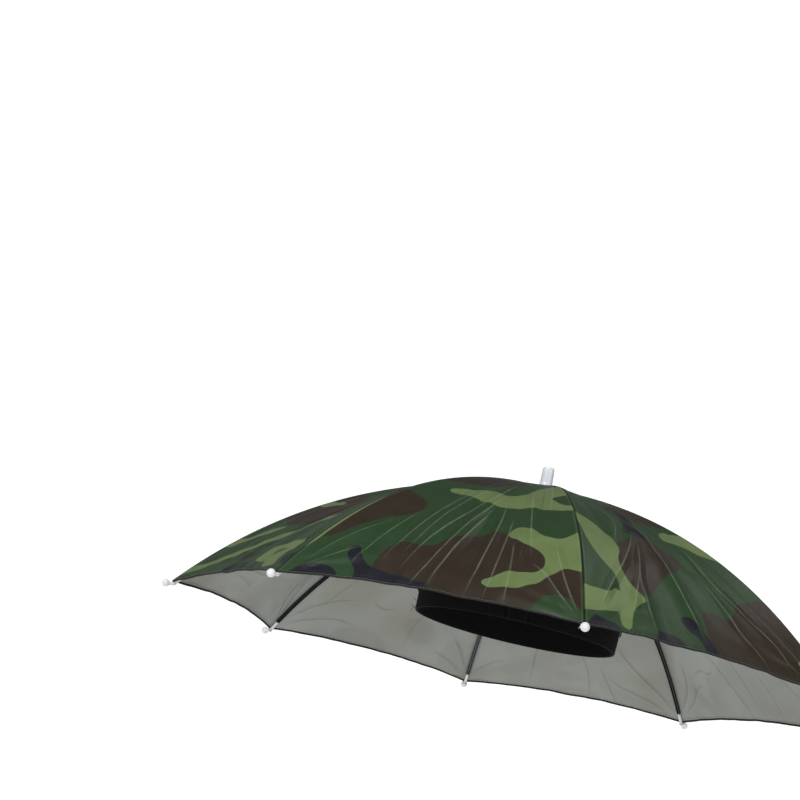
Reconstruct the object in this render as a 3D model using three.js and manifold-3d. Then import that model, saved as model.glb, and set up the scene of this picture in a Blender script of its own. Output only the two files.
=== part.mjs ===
// Umbrella hat: an eight-gore cloth canopy on a small folding rib frame, worn on an elastic headband.
// Millimetres, +Z up. The origin is the centre of the headband, where a head holds the hat up.
// The front faces -Y, in the middle of gore 1, and gores and ribs count on anticlockwise from above.
import * as THREE from 'three';
import { mergeVertices } from 'three/addons/utils/BufferGeometryUtils.js';
import Module from 'manifold-3d';

const wasm = await Module();
wasm.setup();

// Canopy
const GORES = 8;
const RIM_RADIUS = 300; // crown axis to a corner of the cloth
const DOME_HEIGHT = 153; // rim plane to the top of the cloth
const RIM_DROP = 40; // headband's centre down to the rim plane
const CLOTH = 1.2;
const GORE_HOLLOW = 5; // the cloth sinks this far between two ribs, where it sinks most
const HEM_INSET = 6; // the hem bows in between two corners
const HEM_LIFT = 6; // and up
const FOLD_WIDTH = 34;
const FOLD_HEIGHT = 3;
const CROWN_GATHER = 0.5; // depth of the pleats that meet at the crown

// Fall of a rib from the crown to the rim, as shares of the dome's height
const FALL = { straight: 0.18, round: 0.6, steep: 0.22 };

// Folds in the cloth. Places are shares of a gore: across runs from -1 at its first rib to 1 at the
// next, down runs from 0 at the crown to 1 at the hem. Width and rise are shares of the named sizes.
const LIKE_GORES = [1, 4, 5, 6, 7, 8];
const FOLDS = [
  { gores: LIKE_GORES, across: -0.9, down: 0.98, toAcross: -0.3, toDown: 0.56, width: 0.7, rise: 0.6 },
  { gores: LIKE_GORES, across: 0.9, down: 0.98, toAcross: 0.34, toDown: 0.6, width: 0.7, rise: 0.5 },
  { gores: LIKE_GORES, across: -0.1, down: 0.44, toAcross: 0.06, toDown: 1.04, width: 0.7, rise: -0.4 },
  { gores: [2], across: -0.88, down: 0.97, toAcross: -0.58, toDown: 0.72, width: 0.5, rise: 0.5 },
  { gores: [2], across: -0.42, down: 1.02, toAcross: -0.26, toDown: 0.66, width: 0.6, rise: 0.4 },
  { gores: [2], across: 0.1, down: 0.62, toAcross: 0.26, toDown: 1.04, width: 0.6, rise: -0.5 },
  { gores: [2], across: 0.44, down: 0.48, toAcross: 0.7, toDown: 0.96, width: 0.6, rise: 0.5 },
  { gores: [3], across: -0.3, down: 0.44, toAcross: -0.7, toDown: 0.8, width: 0.6, rise: 0.5 },
  { gores: [3], across: -0.14, down: 0.56, toAcross: -0.9, toDown: 0.98, width: 0.5, rise: 0.8 },
  { gores: [3], across: -0.2, down: 0.74, toAcross: -0.34, toDown: 1.04, width: 0.7, rise: -0.7 },
  { gores: [3], across: 0, down: 0.5, toAcross: 0.03, toDown: 1.04, width: 0.7, rise: 0.8 },
  { gores: [3], across: 0.32, down: 0.7, toAcross: 0.44, toDown: 1.04, width: 0.7, rise: 0.7 },
  { gores: [3], across: 0.48, down: 0.56, toAcross: 0.74, toDown: 1.04, width: 0.6, rise: 0.6 },
];

// Rib frame
const RIB_WIDTH = 3.2;
const RIB_DEPTH = 2.4;
const RIB_WALL = 0.5;
const RIB_START = 7; // crown axis to a rib's inner end
const STRETCHER_WIDTH = 1.4;
const STRETCHER_HEIGHT = 2.6;
const STRETCHER_START = 8;
const STRETCHER_REACH = 110; // crown axis to the stretcher's end in its rib

// Ball tips
const BALL_DIAMETER = 6.6;
const BALL_REACH = 5.4; // cloth corner to the ball's centre, along the rib
const BALL_RISE = 1.2; // and out of the cloth's outer face
const SHANK_DIAMETER = 3.2;
const SHANK_LENGTH = 11; // cloth corner back to the shank's inner end
const NECK_START = 0.8; // cloth corner to where the shank bends towards the ball
const PEG_DIAMETER = 1.2;
const PEG_LENGTH = 5;

// Crown
const STEM_DIAMETER = 4;
const COLLAR_DIAMETER = 8;
const COLLAR_HEIGHT = 1.6;
const CAP_DIAMETER = 11;
const CAP_SKIRT_DIAMETER = 13.4;
const CAP_HEIGHT = 19.5;
const CAP_BORE_DEPTH = 13;
const CAP_SKIRT_EDGE = 1.2; // thickness of the skirt's edge
const CAP_FLARE_HEIGHT = 5; // the skirt runs into the cap's side at this height
const CAP_DOME_HEIGHT = 3.4;
const HUB_DIAMETER = 24;
const HUB_HEIGHT = 6;
const RUNNER_DIAMETER = 26;
const RUNNER_HEIGHT = 5;
const RUNNER_GAP = 0.5;

// Headband
const BAND_LENGTH = 186; // front to back, middle of the elastic
const BAND_BREADTH = 149;
const BAND_WIDTH = 37;
const BAND_THICKNESS = 2;
const BAND_LEAN = 4; // the lower edge at the back leans in
const JOIN_WIDTH = 18;
const JOIN_THICKNESS = 1.4;
const JOIN_ANGLE = -33; // degrees from +X round the crown axis
const STRAP_RIBS = [1, 3, 5, 7];
const STRAP_WIDTH = 8;
const STRAP_THICKNESS = 1;
const STRAP_REACH = 76; // crown axis to the loop over the stretcher
const STRAP_LAP = 20; // strap's length on the face of the band
const STRAP_TAIL = 12; // stretcher down to the strap's turned-over end
const STRAP_EASE = 0.5; // room round the stretcher inside the loop
const STRAP_TURN_ABOVE = 4; // the quarter turn ends this far above the band

const GAP = 0.3;

// Fineness
const GORE_COLUMNS = 8;
const CLOTH_ROWS = 16;
const BAND_STEPS = 56;
const STRAP_STEPS = 8;
const ROUND = 10;

const HALF_GORE = Math.PI / GORES;
const UP = new THREE.Vector3(0, 0, 1);

// Frame shared by the pieces
const ribAngle = (rib) => -Math.PI / 2 + (2 * rib - 3) * HALF_GORE;
const outward = (angle) => new THREE.Vector3(Math.cos(angle), Math.sin(angle), 0);

function at(origin, side, x, up, y) {
  return origin.clone().addScaledVector(side, x).addScaledVector(up, y);
}

function ribHeight(share) {
  const fall = FALL.straight * share + FALL.round * share ** 2 + FALL.steep * share ** 4;
  return DOME_HEIGHT * (1 - fall) - RIM_DROP;
}

// Cloth

function creaseAt(value) {
  return Math.max(0, 1 - Math.abs(value)) ** 1.5;
}

function foldHeight(gore, across, down) {
  const reach = RIM_RADIUS * Math.cos(HALF_GORE);
  const flat = (a, d) => new THREE.Vector2(a * d * RIM_RADIUS * Math.sin(HALF_GORE), d * reach);
  const here = flat(across, down);
  let height = 0;
  for (const fold of FOLDS) {
    if (!fold.gores.includes(gore)) continue;
    const start = flat(fold.across, fold.down);
    const run = flat(fold.toAcross, fold.toDown).sub(start);
    const along = here.clone().sub(start).dot(run) / run.lengthSq();
    const beside = here.clone().sub(start).addScaledVector(run, -along).length();
    const fade = Math.max(0, 1 - (2 * along - 1) ** 4);
    height += fold.rise * FOLD_HEIGHT * fade * creaseAt(beside / (fold.width * FOLD_WIDTH));
  }
  return height * (1 - across ** 2);
}

// Two pleats in each gore sink in round the crown
function gather(across, down) {
  return -CROWN_GATHER * Math.sin(Math.PI * across) ** 2 * Math.exp(-12 * down);
}

function plainCloth(gore, across, down) {
  const angle = ribAngle(gore) + HALF_GORE;
  const open = 1 - across ** 2;
  const out = down * RIM_RADIUS * Math.cos(HALF_GORE) - HEM_INSET * open * down ** 4;
  const along = across * down * RIM_RADIUS * Math.sin(HALF_GORE);
  const hollow = GORE_HOLLOW * open * 6.75 * down ** 2 * (1 - down);
  const height = ribHeight(down) - hollow + HEM_LIFT * open * down ** 6;
  return at(outward(angle).multiplyScalar(out).setZ(height), outward(angle + Math.PI / 2), along, UP, 0);
}

// Slope of a rib's crease, and the direction out of the cloth over it
function ribFrame(rib, share) {
  const step = 1e-3;
  const rise = (ribHeight(share + step) - ribHeight(share - step)) / (2 * step * RIM_RADIUS);
  const out = outward(ribAngle(rib));
  const along = out.clone().setZ(rise).normalize();
  const side = new THREE.Vector3().crossVectors(UP, out);
  const top = new THREE.Vector3().crossVectors(along, side);
  const origin = out.clone().multiplyScalar(share * RIM_RADIUS).setZ(ribHeight(share));
  return { origin, along, side, top };
}

function clothNormal(gore, across, down) {
  const step = 1e-3;
  const aside = plainCloth(gore, across + step, down).sub(plainCloth(gore, across - step, down));
  const ahead = plainCloth(gore, across, down + step).sub(plainCloth(gore, across, down - step));
  return ahead.cross(aside).normalize();
}

// Point of the cloth at a depth below its outer face
function cloth(gore, across, down, depth) {
  if (Math.abs(across) === 1) {
    const crease = ribFrame(across < 0 ? gore : gore + 1, down);
    return crease.origin.addScaledVector(crease.top, -depth);
  }
  const rise = foldHeight(gore, across, down) + gather(across, down) - depth;
  return plainCloth(gore, across, down).addScaledVector(clothNormal(gore, across, down), rise);
}

// How far the cloth falls away from a rib's crease at half the rib's width
function creaseDrop(share) {
  const half = share * RIM_RADIUS * Math.sin(HALF_GORE);
  const across = RIB_WIDTH / 2 / half - 1;
  const crease = ribFrame(1, share);
  const fall = crease.origin.sub(plainCloth(1, across, share)).dot(crease.top);
  return fall - gather(across, share);
}

const clothHole = (STEM_DIAMETER / 2 + GAP) / (RIM_RADIUS * Math.cos(HALF_GORE));

function clothShare(row) {
  return clothHole + (1 - clothHole) * (row / CLOTH_ROWS) ** 0.85;
}

// Solids

// Skins a row of rings of points. With an outline the two ends are capped, without one the row closes.
function skin(rings, outline) {
  const count = rings[0].length;
  const faces = [];
  const spans = outline ? rings.length - 1 : rings.length;
  for (let ring = 0; ring < spans; ring++) {
    const near = ring * count;
    const far = ((ring + 1) % rings.length) * count;
    for (let a = 0; a < count; a++) {
      const b = (a + 1) % count;
      faces.push([near + a, far + a, far + b], [near + a, far + b, near + b]);
    }
  }
  if (outline) {
    const last = (rings.length - 1) * count;
    for (const [a, b, c] of THREE.ShapeUtils.triangulateShape(outline, [])) {
      faces.push([a, b, c], [last + c, last + b, last + a]);
    }
  }
  return closed(rings.flat(), faces);
}

// A geometry of these faces, turned so that they point out
function closed(points, faces) {
  let volume = 0;
  for (const [a, b, c] of faces) {
    volume += points[a].dot(points[b].clone().cross(points[c]));
  }
  const order = volume < 0 ? (face) => [face[0], face[2], face[1]] : (face) => face;
  const geometry = new THREE.BufferGeometry();
  geometry.setAttribute('position', new THREE.Float32BufferAttribute(points.flatMap((p) => p.toArray()), 3));
  geometry.setIndex(faces.flatMap(order));
  geometry.computeVertexNormals();
  return geometry;
}

const rectangle = (width, height) => [
  new THREE.Vector2(-width / 2, -height / 2),
  new THREE.Vector2(width / 2, -height / 2),
  new THREE.Vector2(width / 2, height / 2),
  new THREE.Vector2(-width / 2, height / 2),
];

function ringOf(outline, origin, side, up) {
  return outline.map((point) => at(origin, side, point.x, up, point.y));
}

// A solid of revolution about Z from [radius, height] pairs that start and end on the axis or close
function turned(profile, sides = ROUND) {
  const points = profile.map(([radius, height]) => new THREE.Vector2(radius, height));
  return new THREE.LatheGeometry(points, sides).rotateX(Math.PI / 2);
}

function toManifold(geometry) {
  const bare = geometry.clone();
  bare.deleteAttribute('normal');
  bare.deleteAttribute('uv');
  const merged = mergeVertices(bare);
  const mesh = new wasm.Mesh({
    numProp: 3,
    vertProperties: new Float32Array(merged.attributes.position.array),
    triVerts: new Uint32Array(merged.index.array),
  });
  return new wasm.Manifold(mesh);
}

function fromManifold(body) {
  const mesh = body.getMesh();
  const geometry = new THREE.BufferGeometry();
  geometry.setAttribute('position', new THREE.BufferAttribute(mesh.vertProperties, 3));
  geometry.setIndex(new THREE.BufferAttribute(mesh.triVerts, 1));
  geometry.computeVertexNormals();
  return geometry;
}

// Pieces

// One gore of the canopy, from its first rib's crease to the next rib's
function canopyGore(gore) {
  const outlineOf = (across) => {
    const edge = (across * GAP) / 2;
    const { side } = ribFrame(across < 0 ? gore : gore + 1, 1);
    const shift = Math.abs(across) === 1 ? side.multiplyScalar(-edge) : new THREE.Vector3();
    const outer = [];
    const inner = [];
    for (let row = 0; row <= CLOTH_ROWS; row++) {
      outer.push(cloth(gore, across, clothShare(row), 0).add(shift));
      inner.unshift(cloth(gore, across, clothShare(row), CLOTH).add(shift));
    }
    return [...outer, ...inner];
  };
  const rings = [];
  for (let column = 0; column <= GORE_COLUMNS; column++) {
    rings.push(outlineOf((2 * column) / GORE_COLUMNS - 1));
  }
  const { side } = ribFrame(gore, 1);
  const level = new THREE.Vector3().crossVectors(side, UP);
  return skin(rings, rings[0].map((point) => new THREE.Vector2(-point.dot(level), point.z)));
}

// Depth of a rib's back below the outer face of the cloth
const ribDepth = (share) => CLOTH + GAP + creaseDrop(share);

// Crown axis to the nearest corner of a rib's inner end
function ribInnerEnd() {
  const share = RIB_START / RIM_RADIUS;
  const { origin, top } = ribFrame(1, share);
  const corner = origin.addScaledVector(top, -ribDepth(share) - RIB_DEPTH);
  return Math.hypot(corner.x, corner.y);
}

const cornerDepth = ribDepth(1) + RIB_WALL + GAP + PEG_DIAMETER / 2; // of a ball tip's axis

function rib(number) {
  const half = RIB_WIDTH / 2;
  const inside = half - RIB_WALL;
  const outline = [
    [-half, -RIB_DEPTH], [-inside, -RIB_DEPTH], [-inside, -RIB_WALL], [inside, -RIB_WALL],
    [inside, -RIB_DEPTH], [half, -RIB_DEPTH], [half, 0], [-half, 0],
  ].map(([x, y]) => new THREE.Vector2(x, y));
  const slope = ribFrame(number, 1).along;
  const end = 1 - ((SHANK_LENGTH + GAP) * Math.hypot(slope.x, slope.y)) / RIM_RADIUS;
  const start = RIB_START / RIM_RADIUS;
  const shares = [start];
  for (let row = 1; row < CLOTH_ROWS; row++) {
    const share = clothShare(row);
    if (share > start && share < end) shares.push(share);
  }
  shares.push(end);
  const rings = shares.map((share) => {
    const { origin, side, top } = ribFrame(number, share);
    return ringOf(outline, origin.addScaledVector(top, -ribDepth(share)), side, top);
  });
  return skin(rings, outline);
}

// Peg and shank along Z, then a neck that bends up to the ball. The cloth's corner is above the origin.
function ribTip() {
  const ball = BALL_DIAMETER / 2;
  const shank = SHANK_DIAMETER / 2;
  const peg = PEG_DIAMETER / 2;
  const side = new THREE.Vector3(1, 0, 0);
  const bend = new THREE.Vector3(0, 0, NECK_START);
  const centre = new THREE.Vector3(0, cornerDepth + BALL_RISE, BALL_REACH);
  const run = centre.clone().sub(bend).normalize();
  const outline = new THREE.Path().absarc(0, 0, 1, 0, 2 * Math.PI).getPoints(ROUND).slice(0, ROUND);
  const rings = [];
  const ring = (origin, axis, radius) => {
    const up = new THREE.Vector3().crossVectors(axis, side);
    rings.push(outline.map((point) => at(origin, side, radius * point.x, up, radius * point.y)));
  };
  ring(new THREE.Vector3(0, 0, -SHANK_LENGTH - PEG_LENGTH), UP, peg);
  ring(new THREE.Vector3(0, 0, -SHANK_LENGTH), UP, peg);
  ring(new THREE.Vector3(0, 0, -SHANK_LENGTH), UP, shank);
  ring(bend, run.clone().add(UP).normalize(), shank);
  const neck = Math.asin(shank / ball);
  const arcs = 6;
  for (let arc = 0; arc < arcs; arc++) {
    const turn = neck + ((Math.PI - neck) * arc) / arcs;
    ring(centre.clone().addScaledVector(run, -ball * Math.cos(turn)), run, ball * Math.sin(turn));
  }
  return skin(rings, outline);
}

// Heights of the crown's pieces, from the cloth down
const crownTop = ribHeight(0);
const hubShare = HUB_DIAMETER / 2 / (RIM_RADIUS * Math.cos(HALF_GORE));
const hubTop = plainCloth(1, 0, hubShare).z - CLOTH - CROWN_GATHER - GAP;
const hubBottom = hubTop - HUB_HEIGHT;
const runnerTop = hubBottom - RUNNER_GAP;
const runnerBottom = runnerTop - RUNNER_HEIGHT;

// Slotted ring: a disc with a bore for the stem and a slot for each bar
function slottedRing(diameter, height, slotWidth, slotStart) {
  const bore = STEM_DIAMETER / 2 + GAP;
  const outer = diameter / 2;
  const edge = height / 8;
  let body = toManifold(turned([
    [bore, 0], [outer - edge, 0], [outer, edge], [outer, height - edge],
    [outer - edge, height], [bore, height], [bore, 0],
  ], 4 * GORES));
  for (let number = 1; number <= GORES; number++) {
    const slot = new THREE.BoxGeometry(outer, slotWidth, 2 * height);
    slot.translate(slotStart + outer / 2, 0, height / 2);
    slot.rotateZ(ribAngle(number));
    body = body.subtract(toManifold(slot));
  }
  return fromManifold(body);
}

function crownCap() {
  const shell = CAP_DIAMETER / 2;
  const skirt = CAP_SKIRT_DIAMETER / 2;
  const bore = STEM_DIAMETER / 2 + GAP;
  const skirtBase = ribHeight(skirt / RIM_RADIUS) - crownTop + GAP;
  const dome = CAP_HEIGHT - CAP_DOME_HEIGHT;
  const flare = THREE.MathUtils.lerp(shell, skirt, 0.1);
  const profile = [[0, CAP_BORE_DEPTH], [bore, CAP_BORE_DEPTH], [bore, GAP], [skirt, skirtBase]];
  profile.push([skirt, skirtBase + CAP_SKIRT_EDGE], [flare, 0.7 * CAP_FLARE_HEIGHT]);
  profile.push([shell, CAP_FLARE_HEIGHT]);
  for (const turn of [0, 30, 60]) {
    const angle = THREE.MathUtils.degToRad(turn);
    profile.push([shell * Math.cos(angle), dome + CAP_DOME_HEIGHT * Math.sin(angle)]);
  }
  profile.push([0, CAP_HEIGHT]);
  return turned(profile, 16);
}

const stemTop = crownTop + CAP_BORE_DEPTH - GAP;
const stemBottom = runnerBottom - GAP - COLLAR_HEIGHT;

function stem() {
  const rod = STEM_DIAMETER / 2;
  const collar = COLLAR_DIAMETER / 2;
  const shoulder = stemBottom + COLLAR_HEIGHT;
  return turned([
    [0, stemBottom], [collar, stemBottom], [collar, shoulder], [rod, shoulder], [rod, stemTop], [0, stemTop],
  ]);
}

// Middle of the stretcher's height, level in the runner and just under the roof of the rib's channel
const stretcherStart = { out: STRETCHER_START, height: runnerTop - RUNNER_HEIGHT / 2 };
const stretcherEnd = { out: STRETCHER_REACH, height: stretcherEndHeight() };

function stretcherEndHeight() {
  const share = STRETCHER_REACH / RIM_RADIUS;
  const { origin, along, top } = ribFrame(1, share);
  const slope = along.z / Math.hypot(along.x, along.y);
  const roof = origin.addScaledVector(top, -ribDepth(share) - RIB_WALL - GAP);
  return roof.z + (STRETCHER_REACH - Math.hypot(roof.x, roof.y)) * slope - STRETCHER_HEIGHT / 2;
}

function stretcherHeight(out) {
  const share = (out - stretcherStart.out) / (stretcherEnd.out - stretcherStart.out);
  return THREE.MathUtils.lerp(stretcherStart.height, stretcherEnd.height, share);
}

function stretcher(number) {
  const outline = rectangle(STRETCHER_WIDTH, STRETCHER_HEIGHT);
  const out = outward(ribAngle(number));
  const side = new THREE.Vector3().crossVectors(UP, out);
  const rings = [stretcherStart, stretcherEnd].map((end) => {
    const origin = out.clone().multiplyScalar(end.out).setZ(end.height);
    return ringOf(outline, origin, side, UP);
  });
  return skin(rings, outline);
}

// The headband's oval: a point of the elastic's middle at an angle round the axis, with its normal
function bandFrame(angle, height) {
  const long = BAND_LENGTH / 2;
  const short = BAND_BREADTH / 2;
  const middle = new THREE.Vector3(short * Math.cos(angle), long * Math.sin(angle), height);
  const normal = new THREE.Vector3(Math.cos(angle) / short, Math.sin(angle) / long, 0).normalize();
  const back = Math.max(0, Math.sin(angle)) ** 2;
  const lean = BAND_LEAN * back * (0.5 - height / BAND_WIDTH);
  return { origin: middle.addScaledVector(normal, -lean), normal };
}

// Parameter of the oval where it crosses a direction from the axis
function bandParameter(direction) {
  return Math.atan2(Math.sin(direction) / BAND_LENGTH, Math.cos(direction) / BAND_BREADTH);
}

function bandRing(angle, inside, outside) {
  const corners = [[inside, -1], [outside, -1], [outside, 1], [inside, 1]];
  return corners.map(([offset, end]) => {
    const { origin, normal } = bandFrame(angle, (end * BAND_WIDTH) / 2);
    return origin.addScaledVector(normal, offset);
  });
}

function headband() {
  const rings = [];
  for (let step = 0; step < BAND_STEPS; step++) {
    rings.push(bandRing((2 * Math.PI * step) / BAND_STEPS, -BAND_THICKNESS / 2, BAND_THICKNESS / 2));
  }
  return skin(rings);
}

function bandJoin() {
  const middle = bandParameter(THREE.MathUtils.degToRad(JOIN_ANGLE));
  const half = JOIN_WIDTH / BAND_LENGTH;
  const inside = BAND_THICKNESS / 2 + GAP;
  const rings = [-1, -0.5, 0, 0.5, 1].map((share) => (
    bandRing(middle + share * half, inside, inside + JOIN_THICKNESS)
  ));
  return skin(rings, rectangle(1, 1));
}

// A strap is looped over its stretcher, hangs from it, turns a quarter and laps the face of the band
function bandStrap(number) {
  const out = outward(ribAngle(number));
  const beside = new THREE.Vector3().crossVectors(UP, out);
  const bar = out.clone().multiplyScalar(STRAP_REACH).setZ(stretcherHeight(STRAP_REACH));
  const fall = (stretcherEnd.height - stretcherStart.height) / (stretcherEnd.out - stretcherStart.out);
  const barRun = out.clone().setZ(fall).normalize();
  const barTop = new THREE.Vector3().crossVectors(barRun, beside);
  const loop = STRETCHER_WIDTH / 2 + STRAP_EASE + STRAP_THICKNESS / 2;
  const loopTop = STRETCHER_HEIGHT / 2 - STRAP_EASE;
  const meet = (STRAP_THICKNESS + GAP) / 2;
  const outline = rectangle(STRAP_THICKNESS, STRAP_WIDTH);
  const rings = [];

  // Turned 0 degrees the strap runs up, turned 180 it runs down
  const hang = (offset, height, turned) => {
    const angle = THREE.MathUtils.degToRad(turned);
    const side = beside.clone().multiplyScalar(-Math.cos(angle)).addScaledVector(barTop, -Math.sin(angle));
    rings.push(ringOf(outline, at(bar, beside, offset, barTop, height), side, barRun));
  };
  const leg = [[meet, -STRAP_TAIL], [meet, -3 * loop], [loop, -loop]];
  leg.forEach(([offset, height]) => hang(offset, height, 0));
  for (let turned = 0; turned <= 180; turned += 45) {
    const angle = THREE.MathUtils.degToRad(turned);
    hang(loop * Math.cos(angle), loopTop + loop * Math.sin(angle), turned);
  }
  leg.reverse().forEach(([offset, height]) => hang(-offset, height, 180));

  const parameter = bandParameter(ribAngle(number));
  const onBand = (height) => {
    const { origin, normal } = bandFrame(parameter, height);
    return origin.addScaledVector(normal, BAND_THICKNESS / 2 + GAP + STRAP_THICKNESS / 2);
  };
  const { normal } = bandFrame(parameter, 0);
  const along = new THREE.Vector3().crossVectors(UP, normal);
  const quarter = Math.atan2(along.dot(beside), along.dot(out));
  const start = at(bar, beside, -meet, barTop, -STRAP_TAIL);
  const end = onBand(BAND_WIDTH / 2 + STRAP_TURN_ABOVE);
  for (let step = 1; step <= STRAP_STEPS; step++) {
    const share = step / STRAP_STEPS;
    const turn = THREE.MathUtils.smoothstep(share, 0, 1);
    const width = out.clone().setZ(fall * (1 - turn)).applyAxisAngle(UP, quarter * turn).normalize();
    const side = new THREE.Vector3().crossVectors(UP, width).normalize();
    rings.push(ringOf(outline, start.clone().lerp(end, share), side, width));
  }
  rings.push(ringOf(outline, onBand(BAND_WIDTH / 2 - STRAP_LAP), normal.clone().negate(), along));
  return skin(rings, outline);
}

// Materials
const finishes = {
  camouflage: { color: 0x53683f, roughness: 0.55, metalness: 0 },
  blackSteel: { color: 0x15161a, roughness: 0.4, metalness: 0.3 },
  whitePlastic: { color: 0xe9e9f2, roughness: 0.25, metalness: 0 },
  blackPlastic: { color: 0x1b1b1d, roughness: 0.5, metalness: 0 },
  blackElastic: { color: 0x101211, roughness: 0.9, metalness: 0 },
};
for (const [name, look] of Object.entries(finishes)) {
  finishes[name] = new THREE.MeshStandardMaterial(look);
}

const hat = new THREE.Group();

function add(name, geometry, material, parent = hat) {
  const mesh = new THREE.Mesh(geometry, material);
  mesh.name = name;
  parent.add(mesh);
  return mesh;
}

add('crown_cap', crownCap(), finishes.whitePlastic).position.z = crownTop;
add('stem', stem(), finishes.blackSteel);
const hub = slottedRing(HUB_DIAMETER, HUB_HEIGHT, RIB_WIDTH + 2 * GAP, ribInnerEnd() - GAP);
add('hub', hub, finishes.blackPlastic).position.z = hubBottom;
const runner = slottedRing(RUNNER_DIAMETER, RUNNER_HEIGHT, STRETCHER_WIDTH + 2 * GAP, STRETCHER_START - GAP);
add('runner', runner, finishes.blackPlastic).position.z = runnerBottom;

for (let number = 1; number <= GORES; number++) {
  add(`gore_${number}`, canopyGore(number), finishes.camouflage);
  add(`rib_${number}`, rib(number), finishes.blackSteel);
  add(`stretcher_${number}`, stretcher(number), finishes.blackSteel);
  const { origin, along, side, top } = ribFrame(number, 1);
  const tip = add(`rib_tip_${number}`, ribTip(), finishes.whitePlastic);
  tip.position.copy(origin.addScaledVector(top, -cornerDepth));
  tip.quaternion.setFromRotationMatrix(new THREE.Matrix4().makeBasis(side, top, along.clone()));
}

add('headband', headband(), finishes.blackElastic);
add('band_join', bandJoin(), finishes.blackElastic);
STRAP_RIBS.forEach((number, index) => {
  add(`band_strap_${index + 1}`, bandStrap(number), finishes.blackElastic);
});

export default hat;
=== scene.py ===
import math
from collections import namedtuple

import bmesh
import bpy
import numpy as np
from bpy.props import FloatProperty, FloatVectorProperty, PointerProperty
from mathutils import Matrix, Vector


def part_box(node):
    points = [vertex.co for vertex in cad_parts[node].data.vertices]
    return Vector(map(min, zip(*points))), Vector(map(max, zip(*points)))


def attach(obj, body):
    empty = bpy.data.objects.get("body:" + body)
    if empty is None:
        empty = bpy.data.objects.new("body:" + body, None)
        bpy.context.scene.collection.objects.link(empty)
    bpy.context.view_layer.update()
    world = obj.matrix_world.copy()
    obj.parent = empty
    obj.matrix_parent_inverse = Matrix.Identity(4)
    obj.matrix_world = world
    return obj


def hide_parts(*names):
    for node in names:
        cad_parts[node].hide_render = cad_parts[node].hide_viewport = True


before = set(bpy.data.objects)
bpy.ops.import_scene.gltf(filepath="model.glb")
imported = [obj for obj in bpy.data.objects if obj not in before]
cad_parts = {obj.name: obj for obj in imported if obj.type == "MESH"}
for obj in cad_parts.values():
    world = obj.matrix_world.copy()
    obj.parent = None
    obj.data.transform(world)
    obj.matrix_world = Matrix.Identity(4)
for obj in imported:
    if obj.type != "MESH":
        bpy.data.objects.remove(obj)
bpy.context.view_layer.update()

# Umbrella hat: a printed eight-gore canopy on a rib frame, worn on an elastic headband.
# Metres, +Z up, with the origin at the centre of the headband. The front faces -Y.

bl_info = {
    "name": "Umbrella hat",
    "version": (1, 0, 0),
    "blender": (4, 5, 0),
    "location": "3D View > Sidebar > Umbrella Hat",
    "description": "Builds an umbrella hat with a camouflage canopy over its rib frame",
    "category": "Object",
}

BODY = "root"
GORES = 8
HALF_GORE = math.pi / GORES

# Fineness of the canopy's outer skin. The inner skin has half as many rows and columns.
COLUMNS = 80
ROWS = 110

# Fall of a rib from the crown to the rim, as shares of the dome's height
FALL_STRAIGHT, FALL_ROUND, FALL_STEEP = 0.18, 0.6, 0.22

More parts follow.
